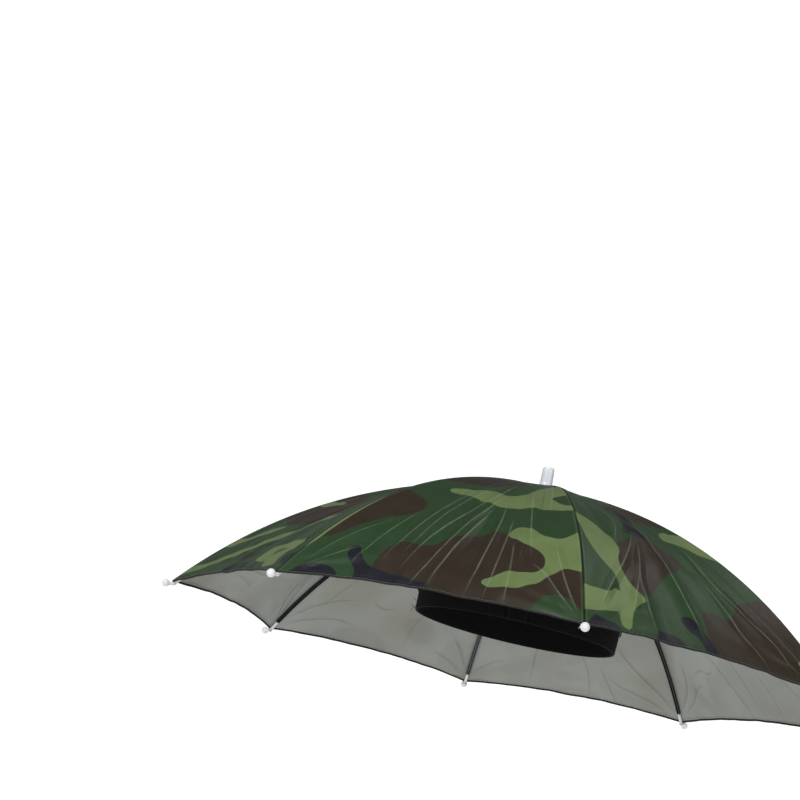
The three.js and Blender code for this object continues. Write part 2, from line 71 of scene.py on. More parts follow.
# Charts of the cloth. Places are shares of a gore: across runs from -1 at its first rib to 1 at the
# next, down runs from 0 at the crown to 1 at the hem. A later patch covers an earlier one.
Patch = namedtuple("Patch", "tint outline")
PRINT_CHARTS = {
    "front": [
        Patch("brown", [(0.2, 0.30), (0.8, 0.20), (1.1, 0.32), (0.5, 0.42)]),
        Patch("black", [(-0.8, 0.25), (-0.2, 0.22), (0.1, 0.30), (-0.5, 0.37)]),
        Patch("light_green", [(-0.5, 0.11), (0.4, 0.10), (0.6, 0.17), (-0.3, 0.20)]),
        Patch("brown", [(-1.1, 0.49), (-0.5, 0.55), (0, 0.60), (0.5, 0.66), (0.6, 0.74), (0.3, 0.765),
                        (0, 0.775), (-0.3, 0.775), (-0.5, 0.775), (-0.7, 0.755), (-0.9, 0.73),
                        (-1.1, 0.72)]),
        Patch("light_green", [(-1.1, 0.605), (-0.5, 0.61), (-0.3, 0.635), (-0.5, 0.65), (-1.1, 0.645)]),
        Patch("light_green", [(-1.1, 0.86), (-0.75, 0.835), (-0.55, 0.79), (-0.42, 0.78), (-0.42, 0.80),
                              (-0.6, 0.84), (-0.8, 0.88), (-1.1, 0.885)]),
        Patch("light_green", [(-1.1, 0.97), (-0.85, 0.955), (-0.6, 0.93), (-0.4, 0.895), (-0.2, 0.84),
                              (0, 0.80), (0.2, 0.755), (0.5, 0.72), (0.55, 0.735), (0.25, 0.785),
                              (0, 0.84), (-0.15, 0.885), (-0.35, 0.935), (-0.6, 0.965), (-0.9, 0.985),
                              (-1.1, 0.99)]),
        Patch("light_green", [(0.3, 0.975), (0.25, 0.94), (0.35, 0.90), (0.6, 0.89), (0.85, 0.895),
                              (0.9, 0.92), (0.75, 0.95), (0.8, 0.985), (0.62, 1.0), (0.55, 0.97)]),
        Patch("dark_green", [(0.42, 0.935), (0.55, 0.925), (0.7, 0.925), (0.6, 0.94), (0.5, 0.95)]),
        Patch("black", [(-0.1, 0.885), (0.12, 0.84), (0.3, 0.83), (0.22, 0.86), (0, 0.90)]),
        Patch("black", [(0.85, 0.95), (1.1, 0.94), (1.1, 0.98), (0.9, 0.985)]),
        Patch("black", [(-0.15, 0.975), (0.1, 0.965), (0.3, 0.985), (0.35, 1.1), (-0.2, 1.1)]),
        Patch("black", [(0.38, 0.99), (0.5, 0.985), (0.55, 1.1), (0.35, 1.1)]),
        Patch("brown", [(-0.2, 0.93), (0, 0.915), (0.2, 0.93), (0.05, 0.95), (-0.1, 0.955)]),
    ],
    "side": [
        Patch("black", [(0.1, 0.20), (0.5, 0.16), (1.1, 0.16), (1.1, 0.21), (0.6, 0.235), (0.3, 0.24)]),
        # Light band near the crown. Its lower part is print. Its reach up towards the crown, across 0.5 to 1,
        # is the cloth's sheen painted in light green.
        Patch("light_green", [(-0.66, 0.525), (-0.5, 0.495), (-0.2, 0.485), (0.1, 0.50), (0.25, 0.48),
                              (0.4, 0.44), (0.5, 0.38), (0.7, 0.31), (1.1, 0.28), (1.1, 0.585),
                              (0.8, 0.59), (0.5, 0.60), (0.1, 0.60), (-0.1, 0.59), (-0.25, 0.57),
                              (-0.4, 0.555), (-0.58, 0.555)]),
        Patch("dark_green", [(0.72, 0.49), (0.8, 0.465), (0.95, 0.445), (1.1, 0.44), (1.1, 0.55),
                             (0.9, 0.55), (0.8, 0.52)]),
        Patch("brown", [(-1.1, 0.47), (-0.93, 0.46), (-0.5, 0.44), (-0.1, 0.405), (0.06, 0.37),
                        (0.15, 0.31), (0, 0.25), (-0.4, 0.24), (-0.8, 0.28), (-1.1, 0.30)]),
        Patch("brown", [(-1.1, 0.60), (-0.9, 0.61), (-0.75, 0.63), (-0.6, 0.65), (-0.52, 0.69),
                        (-0.55, 0.73), (-0.65, 0.76), (-0.75, 0.79), (-0.85, 0.83), (-0.9, 0.88),
                        (-1.1, 0.90)]),
        # Narrow light strip along the first rib: partly print, and partly a painted highlight on the ridge
        # over the rib.
        Patch("light_green", [(-1.1, 0.60), (-0.982, 0.66), (-0.974, 0.75), (-0.968, 0.85),
                              (-0.976, 0.93), (-1.1, 0.95)]),
        Patch("brown", [(-0.46, 0.95), (-0.45, 0.90), (-0.40, 0.86), (-0.3, 0.86), (-0.2, 0.865),
                        (-0.1, 0.83), (0.05, 0.79), (0.15, 0.76), (0.3, 0.745), (0.5, 0.75),
                        (0.8, 0.80), (1.1, 0.84), (1.1, 1.1), (-0.3, 1.1), (-0.40, 0.98)]),
        Patch("light_green", [(0.35, 0.745), (0.40, 0.72), (0.47, 0.715), (0.55, 0.72), (0.65, 0.745),
                              (0.75, 0.755), (0.85, 0.75), (0.93, 0.73), (1.1, 0.69), (1.1, 0.88),
                              (0.92, 0.862), (0.85, 0.87), (0.78, 0.89), (0.7, 0.92), (0.6, 0.94),
                              (0.5, 0.955), (0.35, 0.962), (0.28, 0.95), (0.35, 0.92), (0.45, 0.905),
                              (0.62, 0.895), (0.70, 0.88), (0.72, 0.85), (0.68, 0.82), (0.55, 0.795),
                              (0.42, 0.775)]),
        Patch("dark_green", [(0.63, 1.1), (0.65, 1), (0.7, 0.97), (0.78, 0.95), (0.85, 0.945),
                             (0.92, 0.955), (1, 0.98), (1.1, 1.1)]),
        Patch("black", [(-0.70, 0.905), (-0.64, 0.893), (-0.6, 0.92), (-0.52, 0.945), (-0.45, 0.963),
                        (-0.3, 0.972), (-0.1, 0.983), (0.02, 0.99), (0.05, 1.1), (-0.45, 1.1),
                        (-0.5, 0.985), (-0.6, 0.955), (-0.68, 0.93)]),
        Patch("black", [(-0.93, 0.99), (-0.85, 0.972), (-0.75, 0.968), (-0.65, 0.983), (-0.6, 1.0),
                        (-0.6, 1.1), (-0.95, 1.1)]),
    ],
    "left": [
        Patch("light_green", [(-1.1, 0.17), (-0.3, 0.14), (0.3, 0.16), (0.2, 0.22), (-0.6, 0.25)]),
        Patch("light_green", [(0.38, 0.55), (0.45, 0.52), (0.55, 0.495), (0.7, 0.485), (1.1, 0.49),
                              (1.1, 0.62), (0.88, 0.61), (0.75, 0.59), (0.62, 0.56), (0.5, 0.56)]),
        Patch("brown", [(-0.2, 0.42), (0.1, 0.455), (0.4, 0.45), (0.7, 0.45), (1.1, 0.44), (1.1, 0.33),
                        (0.7, 0.30), (0.3, 0.33), (-0.1, 0.36)]),
        Patch("brown", [(-0.62, 0.78), (-0.58, 0.72), (-0.55, 0.69), (-0.45, 0.67), (-0.3, 0.63),
                        (-0.15, 0.60), (0.05, 0.605), (0.15, 0.63), (0.24, 0.655), (0.25, 0.68),
                        (0.18, 0.71), (0.05, 0.745), (-0.05, 0.755), (-0.15, 0.79), (-0.25, 0.82),
                        (-0.35, 0.86), (-0.42, 0.885), (-0.53, 0.865), (-0.6, 0.81)]),
        Patch("black", [(0, 0.40), (0.1, 0.42), (0.15, 0.46), (0.05, 0.5), (0.03, 0.58), (-0.02, 0.605),
                        (-0.15, 0.60), (-0.28, 0.62), (-0.3, 0.58), (-0.15, 0.52), (-0.05, 0.46)]),
        Patch("light_green", [(-1.1, 0.585), (-0.9, 0.60), (-0.75, 0.615), (-0.65, 0.65),
                              (-0.58, 0.69), (-0.56, 0.73), (-0.62, 0.77), (-0.61, 0.81),
                              (-0.53, 0.87), (-0.43, 0.895), (-0.5, 0.91), (-0.6, 0.94),
                              (-0.63, 1.0), (-0.72, 0.985), (-0.7, 0.93), (-0.66, 0.88),
                              (-0.69, 0.84), (-0.75, 0.82), (-0.85, 0.77), (-0.93, 0.72),
                              (-0.98, 0.65), (-1.1, 0.63)]),
        Patch("light_green", [(-1.1, 0.895), (-0.9, 0.905), (-0.78, 0.905), (-0.7, 0.88), (-0.66, 0.9),
                              (-0.7, 0.95), (-0.8, 0.96), (-0.9, 0.965), (-1.1, 0.97)]),
        Patch("brown", [(0.06, 1.1), (0.02, 0.96), (0.03, 0.92), (0.08, 0.875), (0.15, 0.865),
                        (0.3, 0.875), (0.37, 0.87), (0.5, 0.825), (0.6, 0.80), (0.75, 0.78),
                        (0.9, 0.765), (1.1, 0.76), (1.1, 1.1)]),
        Patch("black", [(-0.17, 0.915), (-0.1, 0.905), (-0.05, 0.92), (0, 0.95), (0.05, 0.98),
                        (0.09, 1.1), (-0.02, 1.1), (-0.06, 0.97), (-0.14, 0.95)]),
        Patch("black", [(-0.44, 0.985), (-0.38, 0.972), (-0.28, 0.972), (-0.2, 0.988), (-0.17, 1.1),
                        (-0.43, 1.1)]),
        Patch("black", [(-1.1, 1.1), (-0.95, 0.972), (-0.85, 0.983), (-0.7, 0.985), (-0.67, 1.1)]),
        Patch("light_green", [(0.78, 0.95), (0.85, 0.93), (1.1, 0.925), (1.1, 0.98), (0.9, 0.975)]),
    ],
    "back": [
        Patch("brown", [(-1.1, 0.12), (-0.2, 0.10), (0.4, 0.16), (0.1, 0.24), (-0.6, 0.22)]),
        Patch("light_green", [(0.1, 0.30), (0.6, 0.26), (1.1, 0.31), (1.1, 0.40), (0.7, 0.42),
                              (0.5, 0.49), (0.1, 0.50), (-0.1, 0.42)]),
        Patch("brown", [(-1.1, 0.36), (-0.6, 0.38), (-0.25, 0.47), (-0.3, 0.55), (-0.6, 0.57),
                        (-0.8, 0.63), (-1.1, 0.64)]),
        Patch("brown", [(0.05, 0.62), (0.35, 0.58), (0.6, 0.63), (0.9, 0.60), (1.1, 0.62), (1.1, 0.78),
                        (0.8, 0.82), (0.5, 0.76), (0.3, 0.80), (0.05, 0.74)]),
        Patch("light_green", [(-0.85, 0.70), (-0.55, 0.67), (-0.25, 0.70), (-0.15, 0.78),
                              (-0.4, 0.83), (-0.5, 0.90), (-0.75, 0.92), (-0.9, 0.84)]),
        Patch("black", [(-0.35, 0.60), (-0.15, 0.57), (-0.05, 0.63), (-0.12, 0.70), (-0.3, 0.66)]),
        Patch("black", [(0.1, 0.86), (0.35, 0.84), (0.55, 0.89), (0.45, 0.95), (0.15, 0.92)]),
        Patch("light_green", [(0.6, 0.92), (0.85, 0.88), (1.1, 0.90), (1.1, 1.1), (0.7, 1.1)]),
        Patch("brown", [(-0.6, 1.1), (-0.5, 0.96), (-0.2, 0.93), (0.1, 0.97), (0.25, 1.1)]),
    ],
}
TINTS = ("light_green", "brown", "black")

# The chart of each gore, and whether it is turned over
GORE_CHARTS = {
    1: ("front", 1), 2: ("side", 1), 3: ("left", 1), 4: ("back", 1),
    5: ("side", -1), 6: ("front", -1), 7: ("back", -1), 8: ("left", -1),
}

# Broad folds. Width and rise are shares of the fold width and height in the sizes.
Fold = namedtuple("Fold", "gores across down to_across to_down width rise")
LIKE_GORES = (1, 4, 5, 6, 7, 8)
FOLDS = [
    Fold(LIKE_GORES, -0.90, 0.98, -0.30, 0.56, 0.7, 0.6),
    Fold(LIKE_GORES, 0.90, 0.98, 0.34, 0.60, 0.7, 0.5),
    Fold(LIKE_GORES, -0.10, 0.44, 0.06, 1.04, 0.7, -0.4),
    Fold((2,), -0.88, 0.97, -0.58, 0.72, 0.5, 0.5),
    Fold((2,), -0.42, 1.02, -0.26, 0.66, 0.6, 0.4),
    Fold((2,), 0.10, 0.62, 0.26, 1.04, 0.6, -0.5),
    Fold((2,), 0.44, 0.48, 0.70, 0.96, 0.6, 0.5),
    Fold((3,), -0.30, 0.44, -0.70, 0.80, 0.6, 0.5),
    Fold((3,), -0.14, 0.56, -0.90, 0.98, 0.5, 0.8),
    Fold((3,), -0.20, 0.74, -0.34, 1.04, 0.7, -0.7),
    Fold((3,), 0, 0.50, 0.03, 1.04, 0.7, 0.8),
    Fold((3,), 0.32, 0.70, 0.44, 1.04, 0.7, 0.7),
    Fold((3,), 0.48, 0.56, 0.74, 1.04, 0.6, 0.6),
    # Narrow ones
    Fold((2,), 0.04, 0.34, -0.23, 0.84, 0.3, 0.68),
    Fold((2,), 0.08, 0.50, -0.12, 0.93, 0.25, 0.68),
    Fold((2,), 0.03, 0.62, -0.03, 1.0, 0.25, 0.77),
    Fold((2,), 0.12, 0.66, 0.09, 1.0, 0.22, -0.59),
    Fold((2,), 0.28, 0.60, 0.22, 1.0, 0.25, 0.77),
    Fold((2,), 0.38, 0.70, 0.35, 1.0, 0.22, -0.59),
    Fold((2,), 0.46, 0.74, 0.47, 1.0, 0.22, 0.68),
    Fold((2,), -0.36, 0.50, -0.40, 0.96, 0.25, 0.59),
    Fold((2,), -0.22, 0.44, -0.30, 0.92, 0.25, 0.51),
    Fold((2,), -0.22, 0.80, -0.20, 1.0, 0.22, 0.59),
    Fold((2,), -0.62, 0.76, -0.58, 1.0, 0.22, 0.51),
    Fold((2,), 0.48, 0.44, 0.60, 0.84, 0.25, 0.59),
    Fold((2,), 0.58, 0.82, 0.70, 0.96, 0.25, -0.59),
    Fold((2,), 0.99, 1.0, 0.80, 0.80, 0.22, 0.85),
    Fold((2,), 0.99, 1.0, 0.70, 0.88, 0.22, 0.85),
    Fold((2,), 0.99, 1.0, 0.58, 0.94, 0.22, 0.85),
    Fold((3,), 0.22, 0.36, -0.02, 0.65, 0.3, 0.42),
    Fold((3,), -0.03, 0.66, -0.05, 0.94, 0.25, 0.42),
    Fold((3,), 0.51, 0.55, 0.56, 0.84, 0.3, 0.35),
    Fold((3,), 0.62, 0.86, 0.74, 1.02, 0.25, 0.35),
    Fold((3,), -0.17, 0.57, -0.38, 0.78, 0.25, 0.56),
    Fold((3,), -0.36, 0.74, -0.64, 0.99, 0.3, 0.42),
    Fold((3,), -0.33, 0.47, -0.62, 0.70, 0.25, 0.42),
    Fold((3,), -0.44, 0.82, -0.43, 1.0, 0.25, 0.42),
    Fold((3,), -0.97, 0.99, -0.74, 0.81, 0.3, 0.56),
    Fold((3,), -0.97, 0.99, -0.56, 0.87, 0.25, 0.56),
    Fold((3,), -0.97, 0.99, -0.42, 0.93, 0.22, 0.49),
    Fold(LIKE_GORES, -0.97, 0.99, -0.64, 0.86, 0.25, 0.35),
    Fold(LIKE_GORES, 0.97, 0.99, 0.60, 0.88, 0.25, 0.35),
    Fold(LIKE_GORES, 0.22, 0.60, 0.30, 0.98, 0.22, 0.25),
    Fold(LIKE_GORES, -0.24, 0.66, -0.30, 1.02, 0.22, 0.25),
]

# Sharp creases as points across and down, with a strength from 0 to 1. Creases near each other are in
# different layers.
CREASE_LAYERS = ("a", "b", "c")
Crease = namedtuple("Crease", "gores layer strength points")
CREASES = [
    Crease((2,), "a", 1.0, [(0.06, 0.34), (0.03, 0.48), (-0.05, 0.60), (-0.15, 0.71), (-0.24, 0.84),
                            (-0.27, 0.96)]),
    Crease((2,), "b", 0.9, [(0.10, 0.46), (0.05, 0.63), (-0.03, 0.77), (-0.12, 0.93), (-0.14, 1.0)]),
    Crease((2,), "c", 0.9, [(0.10, 0.60), (0.05, 0.74), (0, 0.88), (-0.03, 1.0)]),
    Crease((2,), "a", 0.9, [(0.20, 0.58), (0.26, 0.70), (0.25, 0.85), (0.22, 1.0)]),
    Crease((2,), "b", 0.7, [(-0.30, 0.48), (-0.36, 0.64), (-0.39, 0.79), (-0.42, 0.94)]),
    Crease((2,), "c", 0.7, [(-0.16, 0.42), (-0.24, 0.58), (-0.29, 0.74), (-0.32, 0.90)]),
    Crease((2,), "b", 0.7, [(0.36, 0.66), (0.36, 0.82), (0.34, 1.0)]),
    Crease((2,), "c", 0.7, [(0.45, 0.42), (0.50, 0.56), (0.54, 0.68), (0.60, 0.84)]),
    Crease((2,), "c", 0.6, [(0.44, 0.79), (0.47, 0.88), (0.48, 1.0)]),
    Crease((2,), "a", 0.6, [(-0.52, 0.70), (-0.58, 0.84), (-0.60, 0.97)]),
    Crease((2,), "a", 0.5, [(-0.89, 0.96), (-0.84, 0.90), (-0.76, 0.84), (-0.62, 0.78)]),
    Crease((2,), "b", 0.5, [(-0.88, 0.985), (-0.78, 0.94), (-0.62, 0.89)]),
    Crease((2,), "a", 0.8, [(0.96, 0.985), (0.88, 0.92), (0.82, 0.84), (0.78, 0.76)]),
    Crease((2,), "b", 0.8, [(0.95, 0.99), (0.82, 0.94), (0.72, 0.89), (0.62, 0.86)]),
    Crease((2,), "c", 0.6, [(0.80, 0.30), (0.74, 0.44), (0.72, 0.60)]),
    Crease((3,), "a", 1.0, [(-0.14, 0.35), (0.03, 0.49), (0.01, 0.61), (-0.04, 0.77), (-0.05, 0.89),
                            (-0.01, 1.0)]),
    Crease((3,), "b", 0.9, [(0.55, 0.54), (0.45, 0.73), (0.54, 0.82), (0.67, 0.91), (0.72, 1.0)]),
    Crease((3,), "c", 0.8, [(0.34, 0.72), (0.36, 0.86), (0.38, 0.93), (0.48, 1.0)]),
    Crease((3,), "a", 0.6, [(0.72, 0.80), (0.80, 0.88), (0.83, 0.95)]),
    Crease((3,), "b", 1.0, [(-0.18, 0.58), (-0.51, 0.75), (-0.76, 0.88), (-0.88, 0.96)]),
    Crease((3,), "c", 0.9, [(-0.18, 0.60), (-0.34, 0.74), (-0.42, 0.82), (-0.44, 0.91), (-0.42, 1.0)]),
    Crease((3,), "a", 0.7, [(-0.36, 0.77), (-0.50, 0.86), (-0.60, 0.95)]),
    Crease((3,), "c", 0.7, [(-0.62, 0.40), (-0.33, 0.48), (-0.36, 0.56), (-0.51, 0.64), (-0.57, 0.69)]),
    Crease((1,), "a", 0.7, [(0.10, 0.46), (0.04, 0.62), (0.02, 0.78), (0.06, 0.98)]),
    Crease((1, 4, 6), "b", 0.6, [(-0.30, 0.60), (-0.36, 0.74), (-0.34, 0.90)]),
    Crease((4, 6), "c", 0.8, [(0.34, 0.52), (0.30, 0.68), (0.36, 0.86), (0.40, 1.0)]),
    Crease((5,), "c", 0.6, [(-0.46, 0.70), (-0.58, 0.84), (-0.74, 0.95)]),
    Crease((4, 7), "c", 0.6, [(0.60, 0.64), (0.66, 0.80), (0.78, 0.94)]),
    Crease((5,), "a", 1.0, [(0.96, 0.975), (0.80, 0.93), (0.74, 0.88), (0.72, 0.82)]),
    Crease((5,), "b", 0.9, [(0.93, 0.985), (0.72, 0.95), (0.62, 0.91), (0.46, 0.90)]),
    Crease((5,), "c", 0.8, [(0.62, 0.88), (0.44, 0.85), (0.35, 0.87), (0.24, 0.85)]),
    Crease((5,), "a", 0.9, [(0.22, 0.78), (0.14, 0.84), (0.03, 0.93), (-0.02, 1.0)]),
    Crease((5,), "b", 0.8, [(-0.04, 0.78), (-0.11, 0.84), (-0.14, 0.96)]),
    Crease((5,), "a", 0.7, [(-0.36, 0.84), (-0.40, 0.91), (-0.38, 1.0)]),
    Crease((6,), "a", 1.0, [(-0.95, 0.98), (-0.84, 0.94), (-0.70, 0.90), (-0.55, 0.84), (-0.47, 0.78)]),
    Crease((6,), "b", 0.9, [(-0.90, 0.995), (-0.74, 0.965), (-0.52, 0.95), (-0.34, 0.92)]),
    Crease((6,), "c", 0.8, [(-0.28, 0.88), (-0.36, 0.95), (-0.42, 1.0)]),
    Crease((6,), "a", 0.7, [(-0.10, 0.84), (-0.18, 0.92), (-0.16, 1.0)]),
    Crease((6,), "b", 0.7, [(0.95, 0.975), (0.82, 0.94), (0.66, 0.92)]),
    Crease((7,), "a", 1.0, [(0.95, 0.97), (0.84, 0.92), (0.66, 0.87), (0.46, 0.85)]),
    Crease((7,), "b", 0.9, [(0.93, 0.985), (0.76, 0.955), (0.52, 0.93), (0.30, 0.94)]),
    Crease((7,), "c", 0.8, [(0.34, 0.84), (0.18, 0.86), (0.04, 0.84)]),
    Crease((7,), "a", 0.8, [(-0.95, 0.97), (-0.84, 0.92), (-0.70, 0.88)]),
    Crease((7,), "c", 0.7, [(-0.93, 0.985), (-0.74, 0.96), (-0.56, 0.95)]),
    Crease((7,), "b", 0.6, [(-0.30, 0.80), (-0.22, 0.88), (-0.24, 0.97)]),
    Crease((8,), "a", 1.0, [(-0.95, 0.96), (-0.84, 0.90), (-0.78, 0.83)]),
    Crease((8,), "c", 0.9, [(-0.95, 0.975), (-0.76, 0.92), (-0.62, 0.86)]),
    Crease((8,), "a", 0.8, [(0.95, 0.975), (0.74, 0.95), (0.52, 0.94)]),
    Crease((8,), "b", 0.8, [(0.62, 0.90), (0.36, 0.89), (0.10, 0.90), (-0.06, 0.86)]),
    Crease((8,), "c", 0.7, [(0.40, 0.93), (0.16, 0.93), (-0.02, 0.95)]),
]

# Ribs whose stretchers carry a strap
STRAP_RIBS = (1, 3, 5, 7)

# Loose thread ends. The tip's end is in offsets from the cloth's corner at one rib. The headband's ends
# are in distances out from the elastic and up, in one direction from the headband's centre.
TIP_TAIL_RIB = 3
TIP_TAIL = [(0.0006, -0.0020, -0.0016), (0.0010, -0.0034, -0.0026), (0.0012, -0.0046, -0.0050)]
BAND_TAIL_DIRECTION = (-0.0257, -0.0872)
BAND_TAILS = [
    [(0, 0), (0.0022, -0.0006), (0.0040, 0.0014)],
    [(0, -0.0006), (0.0026, -0.0022), (0.0036, -0.0050)],
    [(0, 0.0050), (0.0020, 0.0056), (0.0036, 0.0074)],
]

# The camera's place and the point it looks at
CAMERA_PLACE = (1.1590, -0.6915, -0.1914)
CAMERA_AIM = (-0.0737, -0.1235, 0.1670)


def linear(red, green, blue):
    """Scene colour of a screen colour given in 0 to 255."""
    return tuple((value / 255 / 12.92 if value < 11 else ((value / 255 + 0.055) / 1.055) ** 2.4)
                 for value in (red, green, blue))


def length(name, default, description):
    return FloatProperty(name=name, description=description, default=default, min=0,
                         precision=4, subtype="DISTANCE", unit="LENGTH")


def tint(name, default, description):
    return FloatVectorProperty(name=name, description=description, default=default, min=0, max=1,
                               size=3, subtype="COLOR")


class HatSizes(bpy.types.PropertyGroup):
    """Sizes of the hat's pieces"""

    rim_radius: length("Rim radius", 0.3, "Crown axis to a corner of the cloth")
    dome_height: length("Dome height", 0.153, "Rim plane to the top of the cloth")
    rim_drop: length("Rim drop", 0.04, "Headband's centre down to the rim plane")
    gore_hollow: length("Gore hollow", 0.005, "How far the cloth sinks between two ribs")
    hem_inset: length("Hem inset", 0.006, "How far the hem bows in between two corners")
    hem_lift: length("Hem lift", 0.006, "How far the hem bows up between two corners")
    cloth: length("Cloth", 0.0010, "Thickness of the cloth's wall")
    hole_radius: length("Crown hole", 0.0023, "Radius of the hole for the stem")
    seam_width: length("Seam width", 0.0013, "Half the width of the seam over a rib")
    seam_dip: length("Seam dip", 0.00035, "Depth of the seam's line")
    fold_width: length("Fold width", 0.034, "Half the width of a broad fold")
    fold_height: length("Fold height", 0.003, "Height of a broad fold")
    ripple_height: length("Ripple height", 0.00028, "Height of the fine ripples that run to the crown")
    fan_height: length("Fan height", 0.0007, "Height of the pleats that fan out from a corner")
    hem_thread: length("Hem thread", 0.0010, "Radius of the thread that edges the hem")
    hem_thread_inset: length("Hem thread inset", 0.0003, "Hem's edge to the middle of its thread")
    stitch_pitch: length("Stitch pitch", 0.0032, "One stitch to the next")
    stitch_length: length("Stitch length", 0.0023, "Length of a stitch")
    stitch_thickness: length("Stitch thickness", 0.0003, "Thickness of a stitch")
    stitch_inset: length("Stitch inset", 0.0026, "Hem's edge to its line of stitches")

    rib_width: length("Rib width", 0.0032, "Width of a rib's channel")
    rib_depth: length("Rib depth", 0.0024, "Depth of a rib's channel")
    rib_wall: length("Rib wall", 0.0005, "Thickness of a rib's steel")
    rib_start: length("Rib start", 0.007, "Crown axis to a rib's inner end")
    rib_under: length("Rib under", 0.0015, "Outer face of the cloth down to a rib's back")
    stretcher_width: length("Stretcher width", 0.0014, "Width of a stretcher's bar")
    stretcher_height: length("Stretcher height", 0.0026, "Height of a stretcher's bar")
    stretcher_start: length("Stretcher start", 0.008, "Crown axis to a stretcher's inner end")
    stretcher_reach: length("Stretcher reach", 0.110, "Crown axis to a stretcher's outer end")
    rivet: length("Rivet", 0.0012, "Radius of a rivet's head")

    ball: length("Ball", 0.0066, "Diameter of a ball tip")
    ball_reach: length("Ball reach", 0.0054, "Cloth's corner to the ball's centre, along the rib")
    ball_rise: length("Ball rise", 0.0012, "Ball's centre out of the cloth's outer face")
    shank: length("Shank", 0.0032, "Diameter of a ball tip's shank")
    shank_length: length("Shank length", 0.011, "Cloth's corner back to the shank's inner end")
    neck_start: length("Neck start", 0.0008, "Cloth's corner to where the shank bends towards the ball")

    stem: length("Stem", 0.004, "Diameter of the stem")
    cap: length("Cap", 0.011, "Diameter of the crown cap")
    cap_skirt: length("Cap skirt", 0.0134, "Diameter of the cap's skirt")
    cap_height: length("Cap height", 0.0195, "Height of the cap over the cloth")

    band_length: length("Band length", 0.186, "Front to back of the headband's oval")
    band_breadth: length("Band breadth", 0.149, "Side to side of the headband's oval")
    band_width: length("Band width", 0.037, "Width of the elastic")
    band_thickness: length("Band thickness", 0.002, "Thickness of the elastic")
    band_lean: length("Band lean", 0.004, "How far the lower edge at the back leans in")
    join_width: length("Join width", 0.018, "Width of the lapped ends of the elastic")


class HatColours(bpy.types.PropertyGroup):
    """Colours of the hat and the stage"""

    dark_green: tint("Dark green", linear(43, 67, 40), "Ground of the print")
    light_green: tint("Light green", linear(106, 125, 78), "Light patches of the print")
    brown: tint("Brown", linear(52, 43, 34), "Brown patches of the print")
    black: tint("Black", linear(27, 29, 36), "Darkest patches of the print")
    silver: tint("Silver", linear(156, 160, 154), "Coat on the inside of the cloth")
    silver_shade: tint("Silver shade", linear(140, 139, 129), "Coat where it is duller and warmer")
    dark_thread: tint("Dark thread", linear(12, 14, 12), "Thread of the hem and the headband")
    dull_thread: tint("Dull thread", linear(56, 62, 50), "Stitches of the hem")
    pale_thread: tint("Pale thread", linear(205, 205, 200), "Thread that ties the cloth to the tips")
    # Painted highlight: this colour lightens the floor of each rib's channel to stand for light inside the
    # channel, not for thinner paint.
    channel: tint("Channel", linear(92, 92, 94), "Floor of a rib's channel, where the paint is thin")
    steel: tint("Steel", linear(26, 26, 30), "Paint of the ribs, stretchers and stem")
    bright_steel: tint("Bright steel", linear(150, 150, 150), "Rivets")
    ball: tint("Ball", linear(238, 238, 240), "Plastic of the ball tips")
    cap: tint("Cap", linear(244, 244, 253), "Plastic of the crown cap")
    hub: tint("Hub", linear(24, 24, 26), "Plastic of the hub and the runner")
    elastic: tint("Elastic", linear(9, 10, 9), "Headband and straps")
    stage: tint("Stage", (0.6, 0.6, 0.6), "Floor and backdrop")


class StageSettings(bpy.types.PropertyGroup):
    """Camera, lights and floor"""

    focal_length: FloatProperty(name="Focal length", description="Focal length of the camera",
                                default=69.64, subtype="DISTANCE_CAMERA")
    roll: FloatProperty(name="Roll", description="Turn of the camera about its line of sight",
                        default=math.radians(12.64), subtype="ANGLE")
    floor_drop: length("Floor drop", 1.5, "Origin down to the floor")
    floor_radius: length("Floor radius", 4.5, "Radius of the floor, out to where it curves up")
    seen_glow: FloatProperty(name="Seen glow", description="Whiteness added to the floor and backdrop",
                             default=0.95, min=0)
    floor_glow: FloatProperty(name="Floor glow", description="Light that the floor casts up",
                              default=0.49, min=0)
    sky: FloatProperty(name="Sky", description="Light from above the backdrop", default=0.1, min=0)
    key_light: FloatProperty(name="Key light", description="Power of the soft light at the front",
                             default=25, min=0, subtype="POWER", unit="POWER")
    fill_light: FloatProperty(name="Fill light", description="Power of the soft light at the side",
                              default=13, min=0, subtype="POWER", unit="POWER")
    low_light: FloatProperty(name="Low light", description="Power of the soft light under the brim",
                             default=5, min=0, subtype="POWER", unit="POWER")
    back_light: FloatProperty(name="Back light", description="Power of the soft light behind",
                              default=0.8, min=0, subtype="POWER", unit="POWER")


# Nodes

def node(tree, kind, inputs=None, **settings):
    """A new node. An input, by name or number, is linked if it is given a socket, and else set."""
    made = tree.nodes.new(kind)
    for name, value in settings.items():
        setattr(made, name, value)
    for key, value in (inputs or {}).items():
        if isinstance(value, bpy.types.NodeSocket):
            tree.links.new(value, made.inputs[key])
        else:
            made.inputs[key].default_value = value
    return made


def maths(tree, operation, first, second=0.0, clamp=False):
    return node(tree, "ShaderNodeMath", {0: first, 1: second}, operation=operation,
                use_clamp=clamp).outputs[0]


def mixed(tree, factor, first, second, blend="MIX"):
    """Colour between two, by a factor."""
    return node(tree, "ShaderNodeMix", {"Factor": factor, 6: first, 7: second}, data_type="RGBA",
                blend_type=blend).outputs[2]


def opened(colour):
    """A colour with its alpha."""
    return (*colour, 1.0)


def new_tree(name, kind, inputs, outputs):
    """A node group with its sockets, and the nodes that hold them."""
    tree = bpy.data.node_groups.new(name, kind)
    for in_out, sockets in (("INPUT", inputs), ("OUTPUT", outputs)):
        for label, socket, *default in sockets:
            made = tree.interface.new_socket(name=label, in_out=in_out, socket_type=f"NodeSocket{socket}")
            if default:
                made.default_value = default[0]
    return tree, tree.nodes.new("NodeGroupInput").outputs, tree.nodes.new("NodeGroupOutput").inputs


